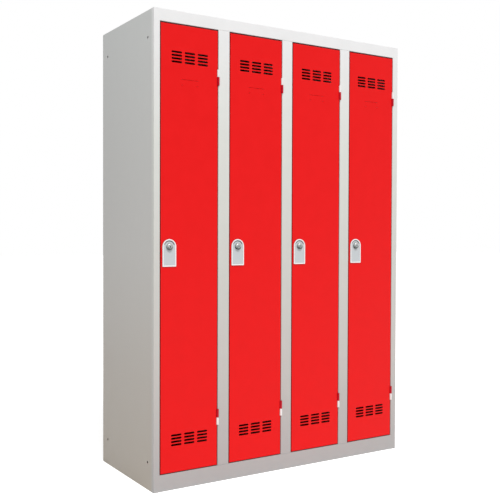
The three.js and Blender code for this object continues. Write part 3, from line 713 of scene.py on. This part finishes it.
def door_sheet():
    """The pan with its slots, label holder, lock hole, hinge notches and mitred corners."""
    sheet = door_pan()
    slots = [repeated(slot_shape(), (DOOR_MIDDLE, 0, height), SLOT_COLUMNS, SLOT_ROWS,
                      SLOT_COLUMN_PITCH, SLOT_ROW_PITCH, FACING_FRONT, RED_PAINT)
             for height in SLOT_HEIGHTS]
    neck = rod("Y", NECK_RADIUS + GAP, (-OVERRUN, OVERRUN + GAUGE), LOCK_AXIS)
    slits = []
    for x, z, turn in ((DOOR_LEFT, DOOR_BOTTOM, -1), (DOOR_RIGHT, DOOR_BOTTOM, 1),
                       (DOOR_RIGHT, DOOR_TOP, -1), (DOOR_LEFT, DOOR_TOP, 1)):
        slit = rounded_block((-DOOR_RETURN * 2, -GAUGE, -MITRE_GAP),
                             (DOOR_RETURN * 2, GAUGE * 3, MITRE_GAP))
        slit.data.transform(Matrix.Translation((x, DOOR_DEPTH - GAUGE, z))
                            @ Matrix.Rotation(turn * pi / 4, 4, "Y"))
        slits.append(slit)
    left, right = DOOR_MIDDLE - RIB_LENGTH / 2, DOOR_MIDDLE + RIB_LENGTH / 2
    tab_top = RIB_TOP - LABEL_HEIGHT
    ribs = ((left, right, RIB_TOP, RIB_TOP - RIB_HEIGHT - SLIT_HEIGHT),
            (left, left + RIB_TAB, tab_top, tab_top),
            (right - RIB_TAB, right, tab_top, tab_top))
    openings = [label_slit(low, high, bottom) for low, high, top, bottom in ribs]
    cut(sheet, *slots, neck, *hinge_notches(hinge_x(0), NOTCH_DEPTH), *slits, *openings)
    return join(sheet, *[label_rib(low, high, top) for low, high, top, bottom in ribs])


def stiffener_sheet():
    near, far = GAUGE + GAP, GAUGE + GAP + STIFFENER_DEPTH
    half, wide = STIFFENER_CROWN / 2, STIFFENER_CROWN / 2 + STIFFENER_FLANGE
    path = [(DOOR_MIDDLE + x, y) for x, y in ((-wide, near), (-half, near), (-half, far),
                                              (half, far), (half, near), (wide, near))]
    vent = ((SLOT_ROWS - 1) * SLOT_ROW_PITCH + SLOT_HEIGHT) / 2 + STIFFENER_CLEARANCE
    run = (SLOT_HEIGHTS[1] + vent, SLOT_HEIGHTS[0] - vent)
    sheet = folded_sheet("door_stiffener_1", path, "Z", run)
    welds = repeated(dimple("Y", 1), (DOOR_MIDDLE, near + GAUGE, (run[0] + run[1]) / 2), 2,
                     STIFFENER_WELD_ROWS, half + wide + GAUGE, STIFFENER_WELD_PITCH,
                     FACING_FRONT, RED_PAINT)
    return cut(sheet, welds)


# ---- Lock ----
def arch_outline(inset, corner):
    """Arch about the lock's axis: a half circle over straight sides and rounded foot corners."""
    half, drop = PLATE_WIDTH / 2 - inset, PLATE_DROP - inset
    corner = max(corner - inset, PLATE_CORNER_LEAST)
    side = [(half, -(drop - corner) * k / SIDE_STEPS) for k in range(1, SIDE_STEPS)]
    side += arc((half - corner, corner - drop), corner, 0, -pi / 2, CORNER_STEPS)
    foot = [(half * share, -drop) for share in FOOT_SHARES]
    return (arc((0, 0), half, 0, pi, ARCH_STEPS) + [(-x, z) for x, z in side] + foot
            + side[::-1])


def lock_plate():
    """The cast plate: a soft rim, a sunk face, and a groove that dips under the arch's rim."""
    back, front = -GAP, -GAP - PLATE_THICKNESS
    floor, groove_end = -GAP - PLATE_FLOOR, PLATE_RIM + GROOVE_WIDTH
    rim = [(0.0, back, 0), (0.0, front + RIM_SIDE, 0)]
    rim += [(inset, front + behind, 0) for inset, behind in RIM_ROWS]
    rim += [(PLATE_RIM + GROOVE_LEAN, floor, 1), (groove_end, floor, 1),
            (groove_end + GROOVE_WALL, floor, 0)]
    sections = []
    for inset, depth, dips in rim:
        section = []
        for x, z in arch_outline(inset, PLATE_CORNER):
            share = min(max(2 * z / (PLATE_WIDTH / 2 - inset) - GROOVE_FADE, 0.0), 1.0)
            section.append((LOCK_X + x, depth + dips * GROOVE_DEPTH * share, LOCK_HEIGHT + z))
        sections.append(section)
    hole = NECK_RADIUS + GAP
    around = [atan2(z, x) for x, z in arch_outline(0.0, PLATE_CORNER)]
    for depth in (floor, back):
        sections.append([(LOCK_X + hole * cos(a), depth, LOCK_HEIGHT + hole * sin(a))
                         for a in around])
    return lofted(sections, "lock_plate_casting_1")


def lock_block(width, height, near, far, edge=0.0, segments=2):
    """A block with its middle on the lock's axis."""
    return rounded_block((LOCK_X - width / 2, near, LOCK_HEIGHT - height / 2),
                         (LOCK_X + width / 2, far, LOCK_HEIGHT + height / 2), edge, segments)


def lock_housing():
    """Domed barrel on the door's face, neck through the door and the case behind it."""
    front = -GAP - BARREL_PROUD
    seat = -GAP - PLATE_FLOOR - GAP
    near = GAUGE + GAP
    lip = PLUG_RADIUS + PLUG_LIP
    dome = [(lip + (BARREL_RADIUS - lip) * cos(a), front + DOME_DEPTH * (1 - sin(a)))
            for a in (pi / 2 * k / DOME_STEPS for k in range(DOME_STEPS, -1, -1))]
    profile = [(0, front + DOME_RECESS)] + dome + [
        (BARREL_RADIUS, seat - BARREL_EDGE), (BARREL_RADIUS - BARREL_EDGE, seat),
        (NECK_RADIUS, seat), (NECK_RADIUS, near + GAUGE), (0, near + GAUGE)]
    barrel = turned(profile, "Y", LOCK_AXIS, BARREL_SIDES, name="lock_barrel_1")
    case = lock_block(CASE_WIDTH, CASE_HEIGHT, near, near + CASE_DEPTH, CASE_EDGE,
                      CASE_EDGE_STEPS)
    bore = rod("Y", PLUG_RADIUS + GAP, (front - OVERRUN, near + CASE_DEPTH + OVERRUN), LOCK_AXIS)
    return cut(join(barrel, case), bore)


def lock_plug():
    """The plug through the barrel, its keyway in front and a square tip for the cam behind."""
    front, shoulder = PLUG_FACE, CAM_FRONT - GAP
    profile = [(0, front)] + [(PLUG_RADIUS - inset, front + back)
                              for inset, back in PLUG_FRONT_ROWS]
    profile += [(PLUG_RADIUS, shoulder), (0, shoulder)]
    plug = turned(profile, "Y", LOCK_AXIS, name="lock_plug_turning_1")
    tip = lock_block(TIP_WIDTH, TIP_WIDTH, shoulder - GAUGE, CAM_FRONT + CAM_GAUGE + TIP_PROUD,
                     TIP_EDGE)
    keyway = lock_block(KEYWAY_WIDTH, KEYWAY_HEIGHT, front - OVERRUN, front + KEYWAY_DEPTH,
                        KEYWAY_EDGE)
    return cut(join(plug, tip), keyway)


def lock_cam():
    """Flat arm with a round head and rounded foot corners, on the plug's square tip."""
    half, foot = CAM_WIDTH / 2, CAM_CORNER
    corner = arc((half - foot, foot - CAM_LENGTH), foot, 0, -pi / 2, CAM_CORNER_STEPS)
    outline = arc((0, 0), half, 0, pi, CAM_STEPS)
    outline += [(-x, z) for x, z in corner] + corner[::-1]
    sections = []
    for inset, depth in ((CAM_EDGE, CAM_FRONT), (0, CAM_FRONT + CAM_EDGE),
                         (0, CAM_FRONT + CAM_GAUGE - CAM_EDGE), (CAM_EDGE, CAM_FRONT + CAM_GAUGE)):
        shrink = 1 - inset / half
        sections.append([(LOCK_X + x * shrink, depth,
                          LOCK_HEIGHT - CAM_LENGTH / 2 + (z + CAM_LENGTH / 2)
                          * (1 - inset * 2 / CAM_LENGTH)) for x, z in outline])
    cam = lofted(sections, "lock_cam_arm_1", ring=False)
    eye = TIP_WIDTH + 2 * GAP
    return cut(cam, lock_block(eye, eye, CAM_FRONT - OVERRUN, CAM_FRONT + CAM_GAUGE + OVERRUN))


# ---- Finishes ----
NOISE_LOW, NOISE_HIGH = 0.3, 0.7
POWDER_IOR, LACQUER_IOR = 1.48, 1.5
# Noises: width of a grain in mm, detail and roughness. The cells of real orange peel are 2 to
# 4 mm wide, and they are drawn at 5 mm so that they show.
ORANGE_PEEL, COAT_CLOUD = (5.0, 1.0, 0.5), (60.0, 2.0, 0.5)
ZINC_MOTTLE, ZINC_GRAIN = (7.0, 3.0, 0.6), (1.6, 2.0, 0.5)
CASTING_GRAIN, TURNING_MARKS = (1.2, 3.0, 0.6), (0.9, 2.0, 0.5)
# How deep the bumps are in mm and how strongly they show, and the roughness of each finish.
PEEL_BUMP, ZINC_BUMP = (0.06, 0.2), (0.03, 0.3)
CASTING_BUMP, TURNING_BUMP = (0.03, 0.25), (0.02, 0.2)
ZINC_GLOSS, CASTING_GLOSS, NICKEL_GLOSS = (0.28, 0.42), (0.36, 0.48), (0.38, 0.5)
GREY_GLOSS, RED_GLOSS, WHITE_GLOSS, CRIMSON_GLOSS = 0.45, 0.38, 0.35, 0.4
COAT_SPREAD, PLAIN_SPECULAR, RED_SPECULAR = 0.04, 0.5, 0.2
WHITE = "#FFFFFF"
# Painted shading in the grey: lighter towards the top, darker and warmer near the floor, darker on
# the sheets behind the front and towards the back.
GREY_FRONT_SHADE_STOPS = ((0.0, "#B0AEAD"), (0.25, "#C6C3BE"), (0.5, "#D2D2CC"), (0.75, "#DEE0DA"),
                    (1.0, "#F0F0F0"))
GREY_BEHIND_SHADE_STOPS = ((0.0, "#B3A99C"), (0.22, "#BBB4AB"), (0.5, "#CAC8C4"), (1.0, "#D6D8D6"))
GREY_REAR_SHADE_STOPS = ((0.0, WHITE), (1.0, "#F0F0F0"))
GREY_BEHIND_SHADE_RUN = (2.0, 30.0)
# Painted shade on the carcass walls round the doors, between these depths behind the front in mm.
JAMB_SHADE_TINT = "#BDBDBD"
JAMB_SHADE_START, JAMB_SHADE_END = (1.6, 2.4), (22.0, 24.0)
# How a door's paint deepens, as painted shade in the gap round the door, in parts of DOOR_WALL_END
# behind the front plane: its bent edges, not its inner face at 1 mm, and its side walls.
DOOR_WALL_END = 24.0
EDGE_SHADE_STOPS = ((0.004, WHITE), (0.012, "#7A989C"), (0.036, "#7A989C"), (0.039, WHITE),
              (0.046, WHITE), (0.05, "#BDBDBD"), (0.9, "#BDBDBD"), (1.0, WHITE))
# Depths where the rim turns to the recessed face, and where the groove under the arch gets its
# painted shade.
RECESS_DEPTHS, GROOVE_SHADE_DEPTHS, GROOVE_SHADE_GREY = (-3.4, -2.4), (-1.7, -1.2), "#6B7175"
# Heights over which the nickel goes from painted shade below to its lit colour above.
SHADED_HEIGHTS = (LOCK_HEIGHT - 7, LOCK_HEIGHT + 6)
# Behind the plug's face: old grease and painted shade in the keyway.
GREASE_AND_SHADE_RUN, GREASE_AND_SHADE = (PLUG_FACE + 0.5, PLUG_FACE + 1.0), "#1C1E1E"


def behind_front(*depths):
    """Depths behind the front plane, in mm, as places in the row frame."""
    return [FRONT + depth * METRE for depth in depths]


def mottled(deep, bright):
    """Colour stops from deep to bright, over the range where noise lies."""
    return (NOISE_LOW, deep), (NOISE_HIGH, bright)


def new_finish(name, cloud, grain, bump, roughness, fixed):
    """Starts a finish on Object coordinates: metres in the row frame, because every piece's
    object is at the origin. The cloud noise varies its roughness and the grain noise raises its
    surface by a depth in mm, at a strength. What is the same all over is set on the shader."""
    material = bpy.data.materials.new(name)
    tree = empty_tree(material)
    where = add_node(tree, "TexCoord").outputs["Object"]
    clouds, grains = [add_node(tree, "TexNoise", {
        "Vector": where, "Scale": 1 / (width * METRE), "Detail": detail, "Roughness": rough})
        for width, detail, rough in (cloud, grain)]
    gloss = add_node(tree, "MapRange", {
        0: clouds, 1: NOISE_LOW, 2: NOISE_HIGH, 3: roughness[0], 4: roughness[1]})
    relief = add_node(tree, "Bump", {
        "Height": grains, "Distance": bump[0] * METRE, "Strength": bump[1]})
    shader = add_node(tree, "BsdfPrincipled",
                      {"Roughness": gloss, "Normal": relief, **fixed})
    add_node(tree, "OutputMaterial", {"Surface": shader})
    return material, tree, where, clouds, shader.inputs["Base Color"]


def faded(tree, under, over, value, run, smooth=True):
    """The under colour where value is at the start of the run, the over colour at its end."""
    share = add_node(tree, "MapRange", {0: value, 1: run[0], 2: run[1]},
                     interpolation_type="SMOOTHSTEP" if smooth else "LINEAR")
    return add_node(tree, "Mix", {0: share, 6: under, 7: over},
                    data_type="RGBA").outputs[2]


def deepened(tree, colour, value, run, stops):
    """Multiplies a colour by what the stops say while value goes through the run."""
    share = add_node(tree, "MapRange", {0: value, 1: run[0], 2: run[1]})
    tint = add_node(tree, "ValToRGB", {0: share}, stops)
    return add_node(tree, "Mix", {0: 1.0, 6: colour, 7: tint},
                    data_type="RGBA", blend_type="MULTIPLY").outputs[2]


def powder_coat(name, roughness, specular):
    """Baked polyester powder on steel: an even satin colour with the faint, soft waviness that
    is called orange peel."""
    return new_finish(name, COAT_CLOUD, ORANGE_PEEL, PEEL_BUMP,
                      (roughness - COAT_SPREAD, roughness + COAT_SPREAD),
                      {"IOR": POWDER_IOR, "Specular IOR Level": specular})


def plain_coat(name, roughness, specular, deep, bright, painted_gap_shade=False):
    """Powder of one colour. With its gap-shade flag set, a door's bends and side walls are painted
    darker than its face, as painted shade in the gap round the door."""
    material, tree, where, cloud, base = powder_coat(name, roughness, specular)
    colour = add_node(tree, "ValToRGB", {0: cloud}, mottled(deep, bright)).outputs[0]
    if painted_gap_shade:
        depth = add_node(tree, "SeparateXYZ", {"Vector": where}).outputs["Y"]
        colour = deepened(tree, colour, depth, behind_front(0, DOOR_WALL_END), EDGE_SHADE_STOPS)
    tree.links.new(colour, base)
    return material


def painted_jamb_shade(tree, colour, axes):
    """Painted shade: darkens the walls of the carcass round the doors, where shade falls in the
    gaps, but not its outer sides and its lid."""
    start, end = behind_front(*JAMB_SHADE_START), behind_front(*JAMB_SHADE_END)
    near = add_node(tree, "MapRange", {0: axes["Y"], 1: start[0], 2: start[1]})
    far = add_node(tree, "MapRange", {0: axes["Y"], 1: end[0], 2: end[1], 3: 1.0, 4: 0.0})
    out = add_node(tree, "Math", {0: axes["X"]}, operation="ABSOLUTE")
    inside = add_node(tree, "Math", {0: out, 1: (HALF_WIDTH - 2 * GAUGE) * METRE},
                      operation="LESS_THAN")
    low = add_node(tree, "Math", {0: axes["Z"], 1: (HEIGHT - 2 * GAUGE) * METRE},
                   operation="LESS_THAN")
    mask = near
    for other in (far, inside, low):
        mask = add_node(tree, "Math", {0: mask, 1: other}, operation="MULTIPLY")
    return add_node(tree, "Mix", {0: mask, 6: colour, 7: linear(JAMB_SHADE_TINT)},
                    data_type="RGBA", blend_type="MULTIPLY").outputs[2]


def grey_powder_coat():
    """Light grey carcass paint with painted shading: whiter and cooler towards the top, darker and
    warmer near the floor, and a little deeper on the sheets behind the front and towards the back."""
    material, tree, where, cloud, base = powder_coat(
        "light_grey_powder_coat", GREY_GLOSS, PLAIN_SPECULAR)
    axes = add_node(tree, "SeparateXYZ", {"Vector": where}).outputs
    height = add_node(tree, "MapRange", {0: axes["Z"], 1: 0.0, 2: HEIGHT * METRE})
    front, behind = [add_node(tree, "ValToRGB", {0: height}, stops).outputs[0]
                     for stops in (GREY_FRONT_SHADE_STOPS, GREY_BEHIND_SHADE_STOPS)]
    colour = faded(tree, front, behind, axes["Y"], behind_front(*GREY_BEHIND_SHADE_RUN))
    colour = deepened(tree, colour, axes["Y"], behind_front(0, DEPTH), GREY_REAR_SHADE_STOPS)
    colour = deepened(tree, colour, cloud, (0.0, 1.0), mottled("#FCFCFC", WHITE))
    tree.links.new(painted_jamb_shade(tree, colour, axes), base)
    return material


def zinc_plated_steel():
    """Cold-rolled steel with bright zinc: a soft metal grey with a faint crystal mottle."""
    material, tree, where, mottle, base = new_finish(
        "bright_zinc_plated_steel", ZINC_MOTTLE, ZINC_GRAIN, ZINC_BUMP, ZINC_GLOSS,
        {"Metallic": 1.0})
    tree.links.new(add_node(tree, "ValToRGB", {0: mottle},
                            mottled("#B9BDC0", "#CFD2D4")).outputs[0], base)
    return material


def satin_zinc_casting():
    """Die-cast zinc under a satin lacquer: fine grain and soft highlights, the rim near white, the
    recessed face a silver grey, and the groove under the arch a darker grey that is painted shade."""
    material, tree, where, grain, base = new_finish(
        "satin_lacquered_zinc_casting", CASTING_GRAIN, CASTING_GRAIN, CASTING_BUMP, CASTING_GLOSS,
        {"IOR": LACQUER_IOR})
    depth = add_node(tree, "SeparateXYZ", {"Vector": where}).outputs["Y"]
    rim, face = [add_node(tree, "ValToRGB", {0: grain}, stops).outputs[0]
                 for stops in (mottled("#F0F0F0", "#F6F6F6"), mottled("#C1C7CA", "#CCD2D4"))]
    face = faded(tree, face, linear(GROOVE_SHADE_GREY), depth, behind_front(*GROOVE_SHADE_DEPTHS))
    tree.links.new(faded(tree, rim, face, depth, behind_front(*RECESS_DEPTHS)), base)
    return material


def nickel_plate(name, lit_stops, shaded_stops, greased_and_shaded=False):
    """Nickel on brass, turned then plated: bright reflections with fine turning marks, and a lower
    half painted darker as painted shade. With its last flag set, everything behind its front is
    painted dark as old grease and painted shade in the keyway."""
    material, tree, where, marks, base = new_finish(
        name, TURNING_MARKS, TURNING_MARKS, TURNING_BUMP, NICKEL_GLOSS, {"Metallic": 1.0})
    axes = add_node(tree, "SeparateXYZ", {"Vector": where}).outputs
    shaded, lit = [add_node(tree, "ValToRGB", {0: marks}, stops).outputs[0]
                     for stops in (shaded_stops, lit_stops)]
    colour = faded(tree, shaded, lit, axes["Z"], [height * METRE for height in SHADED_HEIGHTS])
    if greased_and_shaded:
        colour = faded(tree, colour, linear(GREASE_AND_SHADE), axes["Y"], behind_front(*GREASE_AND_SHADE_RUN), False)
    tree.links.new(colour, base)
    return material


GREY_PAINT = grey_powder_coat()
# Bright traffic red, smoother than the grey; the door's has painted shade on its bends and walls,
# the stiffener's is even, without it.
RED = (RED_GLOSS, RED_SPECULAR, "#EA0C0E", "#ED0F11")
RED_PAINT = plain_coat("bright_red_powder_coat", *RED, painted_gap_shade=True)
INNER_RED_PAINT = plain_coat("inner_red_powder_coat", *RED)
# The knuckles welded to the carcass have a thicker coat, near white and a little glossier.
WHITE_PAINT = plain_coat("near_white_powder_coat", WHITE_GLOSS, PLAIN_SPECULAR, "#F1F1EF",
                         "#F6F6F4")
# The rolled knuckles of the doors are painted a deeper crimson than the door: painted shade on
# their rounded sides.
SHADED_RED_PAINT = plain_coat("shaded_crimson_powder_coat", CRIMSON_GLOSS, RED_SPECULAR, "#B80A22",
                            "#C00C26")
ZINC = zinc_plated_steel()
CASTING = satin_zinc_casting()
# The darker stops of each nickel are painted shade on its lower half; the plug's is also painted
# dark behind its face.
NICKEL = nickel_plate("bright_nickel_plate", mottled("#B6BAB9", "#C2C6C5"),
                      mottled("#5E6362", "#6C7170"))
SHADED_PLUG_NICKEL = nickel_plate("shaded_plug_nickel_plate", mottled("#A4A9A8", "#B0B5B4"),
                           mottled("#989D9C", "#A4A9A8"), True)


# ---- The carcass ----
def place_carcass():
    left = side_sheet(LEFT_STILE)
    right_handed = side_sheet(RIGHT_STILE)
    right = mirrored(right_handed, "right_side_sheet")
    bpy.data.objects.remove(right_handed)
    cut(right, *hinge_notches(hinge_x(COLUMNS - 1), NOTCH_DEPTH))
    carcass = [(left, "left_side_panel"), (right, "right_side_panel"),
               (lid_sheet(), "top_panel"), (floor_sheet(), "bottom_panel"),
               (back_sheet(), "back_panel")]
    partition, stile = partition_sheet(), stile_sheet()
    walls = [-HALF_WIDTH + GAUGE + GAP]
    for k in range(COLUMNS - 1):
        number = k + 1
        carcass.append((copy_of(partition, f"partition_sheet_{number}", post_x(k)),
                        f"partition_{number}"))
        carcass.append((copy_of(stile, f"stile_sheet_{number}", post_x(k)),
                        f"front_post_{number}"))
        walls += [post_x(k) - GAUGE / 2 - GAP, post_x(k) + GAUGE / 2 + GAP]
    walls.append(HALF_WIDTH - GAUGE - GAP)
    bpy.data.objects.remove(partition)
    bpy.data.objects.remove(stile)
    for k in range(COLUMNS):
        low, high = walls[2 * k], walls[2 * k + 1]
        carcass.append((shelf_sheet(f"hat_shelf_sheet_{k + 1}", low, high), f"hat_shelf_{k + 1}"))
        place_piece(hanging_rail(f"hanging_rail_tube_{k + 1}", low, high), "carcass",
                    [f"hanging_rail_{k + 1}"], ZINC)
    for sheet, node in carcass:
        place_piece(sheet, "carcass", [node], GREY_PAINT)


def place_frame_hinges():
    upper = (UPPER_SPLIT + RUNNING_GAP, UPPER_SPLIT + RUNNING_GAP + FRAME_KNUCKLE)
    lower = (LOWER_SPLIT - RUNNING_GAP - FRAME_KNUCKLE, LOWER_SPLIT - RUNNING_GAP)
    upper_pin = (UPPER_SPLIT - RUNNING_GAP - DOOR_KNUCKLE + GAUGE, upper[1] - KNUCKLE_RADIUS)
    lower_pin = (lower[0] + KNUCKLE_RADIUS, LOWER_SPLIT + RUNNING_GAP + DOOR_KNUCKLE - GAUGE)
    for where, span, pin in (("upper", upper, upper_pin), ("lower", lower, lower_pin)):
        first = frame_knuckle(f"frame_knuckle_{where}_first", span, pin)
        for k in range(COLUMNS):
            piece = copy_of(first, f"frame_knuckle_{where}_{k + 1}", k * PITCH)
            place_piece(piece, "carcass", [f"frame_hinge_{where}_{k + 1}"],
                        WHITE_PAINT)
        bpy.data.objects.remove(first)


# ---- The doors and their locks ----
def place_doors():
    upper = (UPPER_SPLIT - RUNNING_GAP - DOOR_KNUCKLE, UPPER_SPLIT - RUNNING_GAP)
    lower = (LOWER_SPLIT + RUNNING_GAP, LOWER_SPLIT + RUNNING_GAP + DOOR_KNUCKLE)
    shapes = [
        (door_sheet(), "door_sheet", "door_panel", "door", "red_paint", RED_PAINT),
        (stiffener_sheet(), "door_stiffener_sheet", "door_stiffener", "door", "red_paint",
         INNER_RED_PAINT),
        (door_knuckle("upper_first", upper), "door_knuckle_rolled_upper", "door_knuckle_upper",
         "door", "red_paint", SHADED_RED_PAINT),
        (door_knuckle("lower_first", lower), "door_knuckle_rolled_lower", "door_knuckle_lower",
         "door", "red_paint", SHADED_RED_PAINT),
        (lock_plate(), "lock_plate_casting", "lock_plate", "door", "lock_plate_casting", CASTING),
        (lock_housing(), "lock_barrel_and_case", "lock_housing", "door", "nickel_lock", NICKEL),
        (lock_plug(), "lock_plug_turning", "lock_plug", "lock", "nickel_lock", SHADED_PLUG_NICKEL),
        (lock_cam(), "lock_cam_arm", "lock_cam", "lock", "zinc_steel", ZINC)]
    for shape, name, node, body, slot, finish in shapes:
        shape.name = "first_" + name
        for k in range(COLUMNS):
            piece = copy_of(shape, f"{name}_{k + 1}", k * PITCH)
            place_piece(piece, f"{body}_{k + 1}", [f"{node}_{k + 1}"], finish)
        bpy.data.objects.remove(shape)


place_carcass()
place_frame_hinges()
place_doors()


# ---- Floor, light and camera ----
SKY_LIGHT = 0.46
LAMP_LIGHT, LAMP_SPREAD = 0.583, 20
LAMP_AIM = Vector((0.06, 0.6, -0.8))
FLOOR_WHITE, FLOOR_GLOW, FLOOR_SIZE = "#F3F3F3", 0.6, 60.0
# The camera that the straight edges of the photograph give: turn, tilt and roll in degrees.
CAMERA_PLACE = (-1.8586, -2.9114, 0.9665)
CAMERA_ANGLES = (32.19, -1.157, 0.19)
CAMERA_LENS, CAMERA_SENSOR = 57.035, 36.0


def seen_directly(tree):
    """1 for what the camera, a mirror or glass sees, and 0 for the light that falls on things."""
    path = add_node(tree, "LightPath")
    total = path.outputs["Is Camera Ray"]
    for other in ("Is Glossy Ray", "Is Transmission Ray"):
        total = add_node(tree, "Math", {0: total, 1: path.outputs[other]}, operation="MAXIMUM")
    return total


def place_stage():
    world = bpy.data.worlds.new("white_studio")
    bpy.context.scene.world = world
    tree = empty_tree(world)
    level = add_node(tree, "MapRange", {0: seen_directly(tree), 3: SKY_LIGHT, 4: 1.0})
    sky = add_node(tree, "Background", {"Color": linear(WHITE), "Strength": level})
    add_node(tree, "OutputWorld", {"Surface": sky})

    lamp = bpy.data.lights.new("softbox", "SUN")
    lamp.energy = LAMP_LIGHT * pi
    lamp.angle = radians(LAMP_SPREAD)
    add_object("softbox", lamp).rotation_euler = LAMP_AIM.to_track_quat("-Z", "Y").to_euler()

    bm = bmesh.new()
    bmesh.ops.create_grid(bm, x_segments=1, y_segments=1, size=FLOOR_SIZE / 2)
    mesh = bpy.data.meshes.new("studio_floor")
    bm.to_mesh(mesh)
    bm.free()
    floor = add_object("studio_floor", mesh)
    paint = bpy.data.materials.new("studio_floor_white")
    tree = empty_tree(paint)
    matt = add_node(tree, "BsdfDiffuse", {"Color": linear(FLOOR_WHITE)})
    level = add_node(tree, "MapRange", {0: seen_directly(tree), 3: 0.0, 4: FLOOR_GLOW})
    glow = add_node(tree, "Emission", {"Color": linear(WHITE), "Strength": level})
    both = add_node(tree, "AddShader", {0: matt, 1: glow})
    add_node(tree, "OutputMaterial", {"Surface": both})
    mesh.materials.append(paint)


def place_camera():
    yaw, pitch, roll = (radians(angle) for angle in CAMERA_ANGLES)
    ahead = Vector((sin(yaw) * cos(pitch), cos(yaw) * cos(pitch), sin(pitch)))
    right = Vector((cos(yaw), -sin(yaw), 0))
    up = right.cross(ahead)
    side = right * cos(roll) + up * sin(roll)
    top = up * cos(roll) - right * sin(roll)
    data = bpy.data.cameras.new("camera")
    data.lens, data.sensor_width = CAMERA_LENS, CAMERA_SENSOR
    camera = add_object("camera", data)
    camera.matrix_world = Matrix.Translation(CAMERA_PLACE) @ Matrix(
        (side, top, -ahead)).transposed().to_4x4()
    bpy.context.scene.camera = camera


place_stage()
place_camera()
bpy.context.scene.view_settings.view_transform = "Standard"
